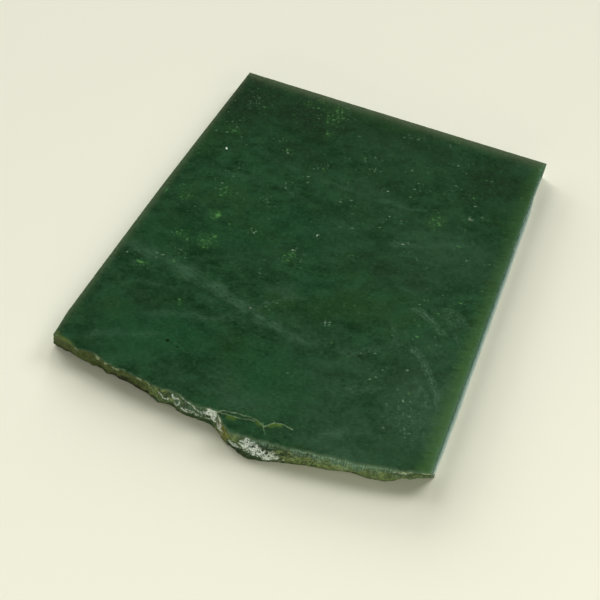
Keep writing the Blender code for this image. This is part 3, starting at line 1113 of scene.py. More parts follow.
@dataclass
class JadeSlab:
    """The whole stone: sawn block, natural edge, flake scar and chipped rims in one closed shell."""

    block: SawnBlock = field(default_factory=SawnBlock)
    edge: NaturalEdge = field(default_factory=NaturalEdge)
    scar: FlakeScar = field(default_factory=FlakeScar)
    chips: RimChips = field(default_factory=RimChips)
    pattern: TopPattern = field(default_factory=TopPattern)
    wisps: Wisps = field(default_factory=Wisps)
    left_overhang: float = 0.3
    # How many columns each side has; every halving of the rings needs an even total
    left_columns: int = 240
    front_columns: int = 640
    right_columns: int = 240
    back_columns: int = 160
    # Rows down the wall from the rim to the lip, and on from the lip to the foot
    levels: tuple[float, ...] = (
        0.0, 0.02, 0.05, 0.085, 0.125, 0.165, 0.21, 0.255, 0.3, 0.345, 0.39, 0.435,
        0.48, 0.525, 0.57, 0.615, 0.66, 0.705, 0.75, 0.795, 0.84, 0.885, 0.93, 0.97, 1.0,
    )
    foot_shares: tuple[float, ...] = (0.35, 0.7, 1.0)
    # Rings of the top from the rim to the flake's broken edge, as shares of the way
    rim_rings: tuple[float, ...] = (
        0.022, 0.05, 0.085, 0.125, 0.17, 0.215, 0.26, 0.305, 0.35, 0.395, 0.44, 0.485, 0.53,
        0.575, 0.62, 0.665, 0.71, 0.75, 0.79, 0.825, 0.86, 0.89, 0.92, 0.95, 0.975, 1.0,
    )
    # Rings on from there, as shares of the way to the last full ring
    inner_rings: tuple[float, ...] = (0.006, 0.03, 0.1, 0.3, 0.6, 1.0)
    side_guide: float = 0.065
    # How far in, and in how many steps, the scar's edge is looked for
    guide_reach: float = 0.12
    guide_steps: int = 481
    last_full_ring: float = 0.2
    # How many rings go on from there to the middle, and those after which the columns halve
    top_ring_count: int = 36
    top_halvings: tuple[int, ...] = (1, 8, 19, 28)
    under_rings: tuple[float, ...] = (0.012, 0.03, 0.08, 0.2, 0.45)
    under_halvings: tuple[float, ...] = (0.03, 0.08, 0.2)
    middle: Pair = (54.0, -65.0)
    bevel: float = 0.12
    sharp_angle: float = 38.0
    # Share of the natural edge from which a column has its rind, and the depth of a full chip mark
    rind_from: float = 0.9
    full_chip: float = 0.12

    def outline(self) -> Columns:
        """Every column, counter-clockwise seen from above, from the back left corner."""
        front = self.edge.front(self.front_columns)
        return Columns.join(
            [
                self.block.left(front.one(0), self.left_columns),
                front,
                self.block.right(front.one(-1), self.right_columns),
                self.block.back(self.back_columns),
            ]
        )

    def front_slice(self) -> slice:
        """Which of the columns belong to the natural edge."""
        return slice(self.left_columns, self.left_columns + self.front_columns)

    def running_length(self, rim: Array) -> tuple[Array, float]:
        """Distance along the outline to each column, and the outline's whole length."""
        step = np.hypot(*(np.roll(rim, -1, axis=0) - rim).T)
        return np.cumsum(step) - step, float(step.sum())

    def edge_relief(self, columns: Columns, across: Array, height: Array, level: Array) -> Array:
        """The natural edge's relief, which fades out along the sawn walls from its corners."""
        front = self.front_slice()
        made = np.zeros(height.shape)
        made[:, front] = self.edge.relief(across[:, front], height[:, front], level[:, front])
        made[:, : front.start] = made[:, front.start, None]
        made[:, front.stop :] = made[:, front.stop - 1, None]
        return made * columns.natural

    def wall_rows(self, columns: Columns, along: Array, length: float) -> tuple[Array, dict]:
        """The wall from its rim to its foot.

        Each column runs straight from rim to lip and on to the foot. The relief, the crust and the
        rim's chips move it along the way it faces. Where the scar lowers the rim, the column
        starts that much further down.

        Args:
            columns: The outline.
            along: Distance along the outline.
            length: Length of the outline.

        Returns:
            Points by row, column and coordinate, and the masks of the same rows and columns.
        """
        thick = self.block.thickness
        level = np.array(self.levels)[:, None] * np.ones(len(columns))
        sunk = self.scar.sink(columns.rim[:, 0], columns.rim[:, 1])
        start = (sunk + self.bevel) / (thick - columns.lip_height)
        level = start + (1.0 - start) * level
        height = thick + (columns.lip_height - thick) * level
        across = np.broadcast_to(columns.rim[:, 0], height.shape)
        spot = columns.rim + (columns.lip - columns.rim) * level[..., None]
        masks = self.edge.masks(across, height, level)
        relief = self.edge_relief(columns, across, height, level)
        crust = masks[Mineral.CRUST.value]
        relief = relief + columns.natural * self.edge.crust_rise(across, height, crust)
        spot[..., 1] -= relief
        bite = self.chips.bite(along, thick - height, length, wall=True)
        spot = spot - bite[..., None] * columns.outward
        upper = np.concatenate([spot, height[..., None]], axis=2)
        share = np.array(self.foot_shares)[:, None, None]
        foot = np.concatenate([columns.foot, np.zeros((len(columns), 1))], axis=1)
        lower = upper[-1] + (foot - upper[-1]) * share
        masks = {name: mask * columns.natural for name, mask in masks.items()}
        below = {name: np.repeat(mask[-1:], len(share), axis=0) for name, mask in masks.items()}
        masks = {name: np.concatenate([masks[name], below[name]]) for name in masks}
        return np.concatenate([upper, lower]), masks

    def guide(self, rim: Array) -> Array:
        """Share of the way from each rim point to the middle at which the scar's edge is crossed."""
        share = np.linspace(0.0, self.guide_reach, self.guide_steps)[:, None]
        x = rim[:, 0] + (self.middle[0] - rim[:, 0]) * share
        y = rim[:, 1] + (self.middle[1] - rim[:, 1]) * share
        past = -y < self.scar.ring_reach(x)
        crossing = share[np.argmax(past, axis=0), 0]
        made = np.full(len(rim), self.side_guide)
        front = self.front_slice()
        made[front] = crossing[front]
        return made

    def top_masks(self, x: Array, y: Array) -> dict[str, Array]:
        """Every mask that the top's features need at each point."""
        return {**self.scar.masks(x, y), **self.pattern.masks(x, y), **self.wisps.masks(x, y)}

    def top_ring(
        self, rim: Array, share: Array, along: Array, length: float
    ) -> tuple[Array, dict[str, Array]]:
        """One ring of the top, a share of the way from the rim to the middle.

        Args:
            rim: The rim's points.
            share: How far in each column's point is.
            along: Distance along the outline.
            length: Length of the outline.

        Returns:
            The ring's points and its masks.
        """
        spot = rim[:, :2] + (np.array(self.middle) - rim[:, :2]) * share[:, None]
        inset = share * self.block.width / 2.0
        bite = self.chips.bite(along, inset, length, wall=False)
        height = self.block.thickness - self.scar.sink(*spot.T) - bite
        masks = self.top_masks(*spot.T)
        masks["from_rim"] = inset
        masks["chipped"] = ease(bite / self.full_chip)
        return np.column_stack([spot, height]), masks

    def shell(self) -> Shell:
        """Joins the wall, the top and the underside in one closed shell."""
        columns = self.outline()
        along, length = self.running_length(columns.rim)
        shell = Shell()
        count = len(columns)
        natural = columns.natural > self.rind_from
        wall_kind = np.where(natural, Face.RIND.value, Face.SAWN.value)
        top_kind = np.full(count, Face.POLISHED.value)
        under_kind = np.full(count, Face.SAWN.value)
        walls, masks = self.wall_rows(columns, along, length)
        rim = walls[0]
        rim_masks = self.top_masks(rim[:, 0], rim[:, 1])
        rows = []
        for number, points in enumerate(walls):
            marks = {name: mask[number] for name, mask in masks.items()}
            rows.append(shell.row(points, {**marks, **rim_masks} if number == 0 else marks))
        for lower, upper in zip(rows[1:], rows):
            shell.band(lower, upper, wall_kind)
        guide = self.guide(rim)
        shares = [guide * share for share in self.rim_rings]
        shares += [guide + (self.last_full_ring - guide) * share for share in self.inner_rings]
        outer = rows[0]
        for share in shares:
            inner = shell.row(*self.top_ring(rim, share, along, length))
            shell.band(outer, inner, top_kind)
            outer = inner
        self.close(shell, outer, rim, along, length, top_kind)
        self.close_underside(shell, rows[-1], walls[-1], under_kind)
        return shell

    def close(
        self, shell: Shell, outer: Array, rim: Array, along: Array, length: float, kind: Array
    ) -> None:
        """Carries the top's rings on to the middle, with half the columns at each halving."""
        stride = 1
        shares = np.linspace(self.last_full_ring, 1.0, self.top_ring_count + 1)
        for number, share in enumerate(shares[1:-1], start=1):
            if number in self.top_halvings:
                stride *= 2
            inset = np.full(len(rim[::stride]), share)
            points = self.top_ring(rim[::stride], inset, along[::stride], length)
            inner = shell.row(*points)
            shell.band(outer, inner, kind[: len(outer)])
            outer = inner
        pole = shell.row(*self.top_ring(rim[:1], np.ones(1), along[:1], length))
        shell.band(outer, pole, kind[: len(outer)])

    def close_underside(self, shell: Shell, foot: Array, points: Array, kind: Array) -> None:
        """Closes the flat underside. Its rings run the other way round, so they face down."""
        stride = 1
        outer, ring = foot[::-1], points[::-1]
        for share in self.under_rings:
            if share in self.under_halvings:
                stride *= 2
            spot = ring[::stride].copy()
            spot[:, :2] += (np.array(self.middle) - spot[:, :2]) * share
            inner = shell.row(spot)
            shell.band(outer, inner, kind[: len(outer)])
            outer = inner
        pole = shell.row(np.array([[*self.middle, 0.0]]))
        shell.band(outer, pole, kind[: len(outer)])

    def origin(self) -> Array:
        """Where the slab's back left corner lies on the CAD solid, in millimetres."""
        low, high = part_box(NODE)
        return np.array([low.x / MM + self.left_overhang, high.y / MM, 0.0])

    def build(self) -> bpy.types.Object:
        """Makes the slab's object, which stands for the CAD solid.

        Returns:
            The object, without its finishes.
        """
        low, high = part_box(NODE)
        mesh = self.shell().mesh(PIECE, self.origin(), np.array(low), np.array(high))
        mesh.set_sharp_from_angle(angle=math.radians(self.sharp_angle))
        slab = bpy.data.objects.new(PIECE, mesh)
        bpy.context.collection.objects.link(slab)
        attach(slab, BODY)
        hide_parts(NODE)
        return slab

    def dress(self, slab: bpy.types.Object, finishes: dict[Face, bpy.types.Material]) -> None:
        """Puts each finish in the place that its kind of surface has on the mesh."""
        for face in Face:
            slab.data.materials.append(finishes[face])


class Sheet:
    """Adds nodes to one node tree and links them up."""

    def __init__(self, tree: bpy.types.NodeTree) -> None:
        """Works on the given tree."""
        self.tree = tree

    def node(self, kind: str, **settings: object) -> bpy.types.Node:
        """A new node with the given settings."""
        made = self.tree.nodes.new(kind)
        for name, value in settings.items():
            setattr(made, name, value)
        return made

    def feed(self, socket: Socket, value: object) -> None:
        """Links a socket to another one, or sets its value."""
        if isinstance(value, bpy.types.NodeSocket):
            self.tree.links.new(value, socket)
        else:
            socket.default_value = value

    def fill(self, made: bpy.types.Node, **values: object) -> bpy.types.Node:
        """Feeds a node's inputs, whose names have spaces for underscores."""
        for name, value in values.items():
            self.feed(made.inputs[name.replace("_", " ")], value)
        return made

    def math(self, operation: str, first: object, second: object = 0.0) -> Socket:
        """One number worked out of two, with no limits."""
        made = self.node("ShaderNodeMath", operation=operation)
        self.feed(made.inputs[0], first)
        self.feed(made.inputs[1], second)
        return made.outputs[0]

    def times(self, first: object, second: object) -> Socket:
        """The product of two numbers."""
        return self.math("MULTIPLY", first, second)

    def plus(self, first: object, second: object) -> Socket:
        """The sum of two numbers."""
        return self.math("ADD", first, second)

    def strongest(self, masks: list[Socket]) -> Socket:
        """The largest of several masks at each place."""
        made = masks[0]
        for mask in masks[1:]:
            made = self.math("MAXIMUM", made, mask)
        return made

    def mix(self, share: object, first: object, second: object) -> Socket:
        """A colour between two others."""
        made = self.node("ShaderNodeMix", data_type="RGBA")
        self.feed(made.inputs[0], share)
        self.feed(made.inputs[6], first)
        self.feed(made.inputs[7], second)
        return made.outputs[2]

    def ramp(self, value: object, low: float, high: float, to: tuple = (0.0, 1.0)) -> Socket:
        """Eases a value between two limits, of which the first may be the larger."""
        made = self.node("ShaderNodeMapRange", interpolation_type="SMOOTHSTEP")
        for socket, number in zip(made.inputs, (value, low, high, *to)):
            self.feed(socket, number)
        return made.outputs[0]

    def noise(self, place: Socket, scale: float, detail: float = 2.0, rough: float = 0.5) -> Socket:
        """Cloudy noise of about 0 to 1, with its scale in cells per millimetre."""
        made = self.node("ShaderNodeTexNoise")
        self.fill(made, Vector=place, Scale=scale, Detail=detail, Roughness=rough)
        return made.outputs[0]

    def mapped(self, place: Socket, move: tuple, size: tuple) -> Socket:
        """Coordinates scaled and then moved."""
        made = self.node("ShaderNodeMapping")
        return self.fill(made, Vector=place, Location=move, Scale=size).outputs[0]

    def drawn(self, place: Socket, turn: float, along: float, across: float) -> Socket:
        """Coordinates drawn out along a direction, which turns noise into streaks.

        Args:
            place: The coordinates, in millimetres.
            turn: The direction in degrees, counted from across the slab towards its back.
            along: How far the coordinates are drawn out along it.
            across: How far they are drawn out level and square to it.

        Returns:
            The coordinates turned back by the angle and divided by the two numbers.
        """
        made = self.node("ShaderNodeMapping", vector_type="TEXTURE")
        turned = (0.0, 0.0, math.radians(turn))
        self.fill(made, Vector=place, Rotation=turned, Scale=(along, across, 1.0))
        return made.outputs[0]

    def axes(self, place: Socket) -> tuple[Socket, Socket, Socket]:
        """The three coordinates of a place: across, towards the back and up."""
        return tuple(self.fill(self.node("ShaderNodeSeparateXYZ"), Vector=place).outputs)

    def bump(self, height: Socket, relief: Pair) -> Socket:
        """Normals bent by a height, whose relief is a strength and a depth in millimetres."""
        strength, depth = relief
        made = self.node("ShaderNodeBump")
        self.fill(made, Strength=strength, Distance=depth * MM, Height=height)
        return made.outputs["Normal"]

    def mask(self, name: str) -> Socket:
        """A mask that the mesh carries."""
        return self.node("ShaderNodeAttribute", attribute_name=name).outputs["Fac"]

    def group(self, tree: bpy.types.NodeTree, **values: object) -> bpy.types.Node:
        """Places a node group and feeds its inputs."""
        return self.fill(self.node("ShaderNodeGroup", node_tree=tree), **values)


class GroupSheet(Sheet):
    """A node group with named inputs and outputs."""

    KINDS = {"place": "NodeSocketVector", "number": "NodeSocketFloat", "colour": "NodeSocketColor"}

    def __init__(self, name: str, inputs: dict[str, str], outputs: dict[str, str]) -> None:
        """Makes an empty group.

        Args:
            name: The group's name.
            inputs: Kind of each input by its name: place, number or colour.
            outputs: Kind of each output by its name.
        """
        super().__init__(bpy.data.node_groups.new(name, "ShaderNodeTree"))
        for title, kind in inputs.items():
            self.tree.interface.new_socket(title, in_out="INPUT", socket_type=self.KINDS[kind])
        for title, kind in outputs.items():
            self.tree.interface.new_socket(title, in_out="OUTPUT", socket_type=self.KINDS[kind])
        self.given = self.node("NodeGroupInput").outputs
        self.result = self.node("NodeGroupOutput").inputs


@dataclass(frozen=True)
class JadeEffects:
    """The node groups that more than one of the slab's finishes uses."""

    oval: bpy.types.NodeTree
    body: bpy.types.NodeTree
    grain: bpy.types.NodeTree
    speckle: bpy.types.NodeTree

    @staticmethod
    def build() -> "JadeEffects":
        """Makes each group once."""
        return JadeEffects(
            JadeEffects.oval_group(),
            JadeEffects.body_group(),
            JadeEffects.grain_group(),
            JadeEffects.speckle_group(),
        )

    @staticmethod
    def oval_group() -> bpy.types.NodeTree:
        """A soft-edged oval: 1 within its core, easing to 0 at its rim.

        The place is moved to the oval's middle, turned with it and divided by its half sizes, and
        the mask eases with its length.
        """
        sheet = GroupSheet(
            "soft_oval",
            {"Place": "place", "Middle": "place", "Turn": "place", "Half Size": "place",
             "Core": "number", "Strength": "number"},
            {"Mask": "number"},
        )
        given = sheet.given
        mapping = sheet.node("ShaderNodeMapping", vector_type="TEXTURE")
        sheet.fill(mapping, Vector=given["Place"], Location=given["Middle"])
        sheet.fill(mapping, Rotation=given["Turn"], Scale=given["Half Size"])
        length = sheet.node("ShaderNodeVectorMath", operation="LENGTH")
        sheet.feed(length.inputs[0], mapping.outputs[0])
        eased = sheet.ramp(length.outputs["Value"], 1.0, given["Core"])
        sheet.feed(sheet.result["Mask"], sheet.times(eased, given["Strength"]))
        return sheet.tree

    @staticmethod
    def body_group() -> bpy.types.NodeTree:
        """The stone's own colour: cloudy dark and light greens with fine mottling.

        Three cloudy noises are mixed: broad clouds drawn out along the grain, patches of a few
        millimetres, and a fine mottle.
        """
        sheet = GroupSheet(
            "jade_body",
            {"Place": "place", "Dark": "colour", "Light": "colour", "Olive": "colour"},
            {"Colour": "colour"},
        )
        place = sheet.given["Place"]
        drawn = sheet.drawn(place, 15.0, 1.4, 0.9)
        broad = sheet.noise(drawn, 0.05, 3.0, 0.55)
        patches = sheet.noise(drawn, 0.28, 4.0, 0.6)
        mottle = sheet.noise(sheet.drawn(place, 22.0, 1.4, 0.65), 0.8, 4.0, 0.65)
        cloud = sheet.times(patches, 0.45)
        cloud = sheet.plus(cloud, sheet.times(broad, 0.35))
        cloud = sheet.plus(cloud, sheet.times(mottle, 0.2))
        share = sheet.ramp(cloud, 0.38, 0.62)
        colour = sheet.mix(share, sheet.given["Dark"], sheet.given["Light"])
        olive = sheet.ramp(sheet.noise(place, 0.09, 3.0, 0.5), 0.5, 0.68, (0.0, 0.35))
        colour = sheet.mix(olive, colour, sheet.given["Olive"])
        sheet.feed(sheet.result["Colour"], colour)
        return sheet.tree

    @staticmethod
    def speckle_group() -> bpy.types.NodeTree:
        """Small ragged specks scattered singly: one to a cell, in the cells that chance picks.

        Each cell of a drawn-out Voronoi pattern carries three chances of 0 to 1. A cell is picked
        where the first one plus the density is above 1, the second sets the speck's radius, and
        the mask grows with the radius less the distance from the cell's point. The cells are about
        a millimetre wide.
        """
        sheet = GroupSheet(
            "jade_speckle",
            {"Place": "place", "Density": "number"},
            {"Mask": "number", "Chance": "number"},
        )
        stir = sheet.noise(sheet.given["Place"], 1.6).node
        push = sheet.node("ShaderNodeVectorMath", operation="SCALE")
        sheet.fill(push, Vector=stir.outputs["Color"], Scale=0.9)
        moved = sheet.node("ShaderNodeVectorMath", operation="ADD")
        sheet.feed(moved.inputs[0], sheet.given["Place"])
        sheet.feed(moved.inputs[1], push.outputs[0])
        cells = sheet.node("ShaderNodeTexVoronoi", voronoi_dimensions="2D")
        sheet.fill(cells, Vector=sheet.drawn(moved.outputs[0], 22.0, 1.7, 0.85), Scale=1.0)
        parts = sheet.fill(sheet.node("ShaderNodeSeparateColor"), Color=cells.outputs["Color"])
        picked = sheet.plus(parts.outputs[0], sheet.given["Density"])
        radius = sheet.plus(sheet.times(parts.outputs[2], 0.22), 0.14)
        radius = sheet.math("SUBTRACT", radius, sheet.ramp(picked, 1.04, 0.98))
        inside = sheet.math("SUBTRACT", radius, cells.outputs["Distance"])
        sheet.feed(sheet.result["Mask"], sheet.ramp(inside, 0.0, 0.14))
        sheet.feed(sheet.result["Chance"], parts.outputs[1])
        return sheet.tree

    @staticmethod
    def grain_group() -> bpy.types.NodeTree:
        """Fine grain of a stone surface: a granular height and a mask of its pits."""
        sheet = GroupSheet(
            "stone_grain",
            {"Place": "place", "Cells": "number"},
            {"Height": "number", "Pits": "number"},
        )
        fine = sheet.noise(sheet.given["Place"], sheet.given["Cells"], 4.0, 0.65)
        sheet.feed(sheet.result["Height"], fine)
        sheet.feed(sheet.result["Pits"], sheet.ramp(fine, 0.46, 0.34))
        return sheet.tree


def slab_place(sheet: Sheet, origin: Array) -> Socket:
    """Object coordinates as millimetres from the slab's back left corner."""
    own = sheet.node("ShaderNodeTexCoord").outputs["Object"]
    return sheet.mapped(own, tuple(-origin), (1.0 / MM,) * 3)


def new_material(name: str) -> tuple[bpy.types.Material, Sheet, bpy.types.Node]:
    """A material, its sheet and its Principled shader."""
    material = bpy.data.materials.new(name)
    material.use_nodes = True
    return material, Sheet(material.node_tree), material.node_tree.nodes["Principled BSDF"]


@dataclass(frozen=True)
class PolishedJade:
    """The polished top: cloudy dark green with pale veins, bright flecks and a lit right edge."""

    effects: JadeEffects
    dark: Colour = shade(19, 49, 24)
    light: Colour = shade(39, 76, 46)
    olive: Colour = shade(37, 67, 33)
    emerald: Colour = shade(28, 73, 42)
    brown: Colour = shade(29, 46, 29)
    # Partly the stone's paler tone, partly a painted reflection of the bright surroundings
    haze: Colour = shade(54, 84, 60)
    vein: Colour = shade(74, 110, 84)
    wisp: Colour = shade(108, 142, 114)
    bright_green: Colour = shade(86, 142, 76)
    pale_fleck: Colour = shade(112, 144, 110)
    white_fleck: Colour = shade(225, 240, 220)
    moss: Colour = shade(56, 98, 50)
    glint: Colour = shade(66, 100, 68)
    speck: Colour = shade(10, 32, 14)
    lit_edge: Colour = shade(70, 106, 54)
    fringe: Colour = shade(93, 105, 78)
    # Colour of the painted light along the right rim
    right_rim_light: Colour = shade(104, 146, 122)
    # Colour of the painted highlight along the front rim
    front_rim_highlight: Colour = shade(100, 122, 88)
    rind: Colour = shade(96, 108, 50)
    chip: Colour = shade(88, 116, 88)
    crack: Colour = shade(140, 170, 128)
    crack_glow: Colour = shade(82, 112, 42)
    white_flecks: tuple[Oval, ...] = oval_table(
        (10.4, 40.0, 0.75, 0.4, -50.0, 1.0, 0.4), (51.8, 63.3, 0.3, 0.75, 0.0, 0.45, 0.3),
        (29.3, 33.2, 0.35, 0.35, 0.0, 0.4, 0.3), (47.5, 72.0, 0.6, 0.35, 20.0, 0.32, 0.3),
        (76.5, 55.5, 0.5, 0.4, 0.0, 0.28, 0.3), (92.4, 118.5, 0.5, 0.4, 0.0, 0.1, 0.3),
        (92.2, 36.2, 0.8, 0.3, 30.0, 0.3, 0.3), (65.0, 35.8, 0.5, 0.3, 0.0, 0.35, 0.3),
        (66.3, 93.3, 0.4, 0.4, 0.0, 0.15, 0.3), (34.0, 70.5, 0.5, 0.35, 0.0, 0.2, 0.3),
        (45.3, 97.3, 0.6, 0.5, 0.0, 0.15, 0.2),
    )
    green_blobs: tuple[Oval, ...] = oval_table(
        (21.3, 68.6, 1.3, 1.1, 30.0, 0.8, 0.2), (9.2, 95.3, 1.7, 0.5, 5.0, 0.8, 0.2),
        (26.0, 103.1, 0.6, 0.5, 0.0, 0.7, 0.2), (9.0, 31.0, 1.2, 0.7, 0.0, 0.45, 0.2),
        (24.3, 77.0, 0.9, 1.1, 0.0, 0.5, 0.2),
    )
    dark_specks: tuple[Oval, ...] = oval_table(
        (29.7, 117.1, 0.85, 0.7, 0.0, 1.0, 0.3), (33.2, 117.9, 0.5, 0.5, 0.0, 0.8, 0.3),
        (44.0, 117.2, 0.8, 0.6, 0.0, 0.6, 0.2), (44.0, 104.3, 0.6, 0.5, 0.0, 0.8, 0.3),
        (56.0, 110.0, 0.7, 0.6, 0.0, 0.7, 0.2), (79.0, 100.0, 1.2, 0.8, 0.0, 0.6, 0.2),
        (76.0, 100.5, 0.7, 0.6, 0.0, 0.6, 0.2),
    )
    rind_spots: tuple[Oval, ...] = oval_table(
        (4.6, 128.8, 5.0, 1.3, -11.0, 0.75, 0.2), (1.5, 127.6, 1.6, 1.4, 0.0, 0.5, 0.2),
    )
    wisp_half_width: float = 0.32
    # Between which places each effect comes in, towards the back or across the slab
    fleck_fade: Pair = (-118.0, -88.0)
    lit_from: Pair = (106.5, 111.5)
    lit_frontward: Pair = (-30.0, -115.0)
    left_rim: Pair = (5.0, 0.0)
    back_rim: Pair = (-9.0, 0.0)
    right_rim: Pair = (105.8, 108.2)
    front_rim_across: Pair = (25.0, 60.0)
    front_rim_back: Pair = (-122.0, -125.5)
    front_rim_inset: Pair = (0.9, 0.0)
    specular: float = 0.32
    stone_ior: float = 1.62
    relief: Pair = (0.08, 0.02)

    def spots(self, sheet: Sheet, place: Socket, ovals: tuple[Oval, ...] | list[Oval]) -> Socket:
        """The strongest of several ovals at each place."""
        masks = []
        for oval in ovals:
            placed = sheet.group(
                self.effects.oval,
                Place=place,
                Middle=(oval.across, -oval.reach, self.top_height()),
                Turn=(0.0, 0.0, math.radians(oval.turn)),
                Half_Size=(oval.half_length, oval.half_width, 40.0),
                Core=oval.core,
                Strength=oval.strength,
            )
            masks.append(placed.outputs["Mask"])
        return sheet.strongest(masks)

    def top_height(self) -> float:
        """Height of the polished face."""
        return SawnBlock().thickness

    def flecks(self, sheet: Sheet, place: Socket, colour: Socket) -> Socket:
        """Scatters pale and bright green specks, thickly in their clusters and thinly elsewhere.

        Args:
            sheet: The material's sheet.
            place: Millimetres from the back left corner.
            colour: The colour so far.

        Returns:
            The colour with its specks.
        """
        pale_cluster, green_cluster = sheet.mask("pale_cluster"), sheet.mask("green_cluster")
        crowd = sheet.ramp(sheet.noise(place, 0.11, 3.0, 0.6), 0.45, 0.7, (0.015, 0.13))
        _, back, _ = sheet.axes(place)
        crowd = sheet.times(crowd, sheet.ramp(back, *self.fleck_fade, (0.25, 1.0)))
        clusters = sheet.strongest([pale_cluster, green_cluster])
        colour = sheet.mix(sheet.times(green_cluster, 0.3), colour, self.moss)
        thick = sheet.times(clusters, 0.75)
        density = sheet.plus(crowd, thick)
        for size, shift, share in ((1.0, 0.0, 0.7), (0.62, 31.7, 0.55)):
            moved = sheet.mapped(place, (shift, 2.0 * shift, 0.0), (1.0 / size,) * 3)
            specks = sheet.group(self.effects.speckle, Place=moved, Density=density)
            green = sheet.math("SUBTRACT", green_cluster, pale_cluster)
            green = sheet.ramp(green, -0.15, 0.35, (0.12, 0.95))
            green = sheet.ramp(sheet.math("SUBTRACT", green, specks.outputs["Chance"]), -0.1, 0.1)
            tint = sheet.mix(green, self.pale_fleck, self.bright_green)
            mask = sheet.times(specks.outputs["Mask"], share)
            colour = sheet.mix(mask, colour, tint)
        moved = sheet.mapped(place, (57.3, 11.9, 0.0), (1.2,) * 3)
        dark = sheet.group(self.effects.speckle, Place=moved, Density=density)
        mask = sheet.times(dark.outputs["Mask"], 0.5)
        return sheet.mix(mask, colour, self.speck)

    def material(self, origin: Array) -> bpy.types.Material:
        """Builds the finish.

        Args:
            origin: Where the slab's back left corner lies, in millimetres.

        Returns:
            The material.
        """
        material, sheet, shader = new_material("polished_jade")
        place = slab_place(sheet, origin)
        body = sheet.group(
            self.effects.body, Place=place, Dark=self.dark, Light=self.light, Olive=self.olive
        )
        colour = body.outputs["Colour"]
        patchy = sheet.ramp(sheet.noise(place, 0.5, 4.0, 0.6), 0.3, 0.7, (0.45, 1.0))
        zones = (
            ("emerald_zone", self.emerald),
            ("brown_zone", self.brown),
            ("olive_zone", self.olive),
            ("haze_zone", self.haze),
            ("dark_zone", self.dark),
        )
        # Among these zones the paler grey one is partly the stone's tone and partly a painted
        # reflection
        for name, tint in zones:
            colour = sheet.mix(sheet.times(sheet.mask(name), patchy), colour, tint)
        feather = sheet.noise(sheet.drawn(place, -12.0, 3.0, 0.7), 0.7, 4.0, 0.65)
        mask = sheet.times(sheet.mask("vein"), sheet.ramp(feather, 0.3, 0.62, (0.3, 1.0)))
        colour = sheet.mix(mask, colour, self.vein)
        for number in range(len(Wisps().sets)):
            colour = sheet.mix(self.wisp_line(sheet, place, number), colour, self.wisp)
        fine = sheet.noise(sheet.drawn(place, 22.0, 1.7, 0.6), 1.5, 3.0, 0.7)
        colour = sheet.mix(sheet.ramp(fine, 0.5, 0.7, (0.0, 0.45)), colour, self.glint)
        colour = sheet.mix(sheet.ramp(fine, 0.48, 0.3, (0.0, 0.48)), colour, self.speck)
        colour = self.flecks(sheet, place, colour)
        colour = sheet.mix(self.spots(sheet, place, self.green_blobs), colour, self.bright_green)
        colour = sheet.mix(self.spots(sheet, place, self.dark_specks), colour, self.speck)
        colour = sheet.mix(self.spots(sheet, place, self.white_flecks), colour, self.white_fleck)
        colour = self.edges(sheet, place, colour)
        grain = sheet.group(self.effects.grain, Place=place, Cells=2.2)
        rough = sheet.ramp(sheet.noise(place, 0.35, 3.0, 0.6), 0.3, 0.7, (0.2, 0.34))
        rough = sheet.plus(rough, sheet.times(sheet.mask("scar"), 0.15))
        rough = sheet.plus(rough, sheet.times(sheet.mask("chipped"), 0.25))
        normal = sheet.bump(grain.outputs["Height"], self.relief)
        sheet.fill(shader, Base_Color=colour, Roughness=rough, Normal=normal)
        sheet.fill(shader, IOR=self.stone_ior, Specular_IOR_Level=self.specular)
        return material

    def wisp_line(self, sheet: Sheet, place: Socket, number: int) -> Socket:
        """Mask of one set of thin lines, which waver, swell and break up a little."""
        noise = sheet.noise(place, 0.7, 4.0, 0.7)
        push = sheet.times(sheet.math("SUBTRACT", noise, 0.5), 3.0)
        gap = sheet.mask(f"wisp_gap_{number}")
        threads = []
        for shift, share in ((0.0, 0.6), (0.8, 0.34), (-0.8, 0.28)):
            away = sheet.math("ABSOLUTE", sheet.plus(sheet.plus(gap, push), shift))
            threads.append(sheet.ramp(away, self.wisp_half_width, 0.0, (0.0, share)))
        broken = sheet.ramp(sheet.noise(place, 0.5, 4.0, 0.7), 0.38, 0.62, (0.3, 1.0))
        near = sheet.times(sheet.mask(f"wisp_near_{number}"), broken)
        return sheet.times(sheet.strongest(threads), near)

    def edges(self, sheet: Sheet, place: Socket, colour: Socket) -> Socket:
        """Lights the thin right edge, paints light along the right and front rims, greys the left and
        back rims and draws the flake's broken line.

        Args:
            sheet: The material's sheet.
            place: Millimetres from the back left corner.
            colour: The colour so far.

        Returns:
            The colour with its edges.
        """
        across, back, _ = sheet.axes(place)
        streaks = sheet.noise(sheet.drawn(place, 6.0, 2.6, 0.5), 0.5, 5.0, 0.7)
        lit = sheet.ramp(sheet.plus(across, sheet.times(streaks, 8.0)), *self.lit_from)
        frontward = sheet.ramp(back, *self.lit_frontward, (0.35, 0.6))
        colour = sheet.mix(sheet.times(lit, frontward), colour, self.lit_edge)
        uneven = sheet.ramp(sheet.noise(place, 0.8, 4.0, 0.6), 0.3, 0.65, (0.7, 1.0))
        at_left = sheet.math("POWER", sheet.ramp(across, *self.left_rim, (0.0, 0.87)), 4.0)
        at_back = sheet.math("POWER", sheet.ramp(back, *self.back_rim, (0.0, 0.95)), 4.0)
        rim = sheet.times(sheet.strongest([at_left, at_back]), uneven)
        colour = sheet.mix(rim, colour, self.fringe)
        # Painted rim light: the top lightens over its last two millimetres before the right rim
        right = sheet.math("POWER", sheet.ramp(across, *self.right_rim, (0.0, 0.5)), 2.0)
        colour = sheet.mix(right, colour, self.right_rim_light)
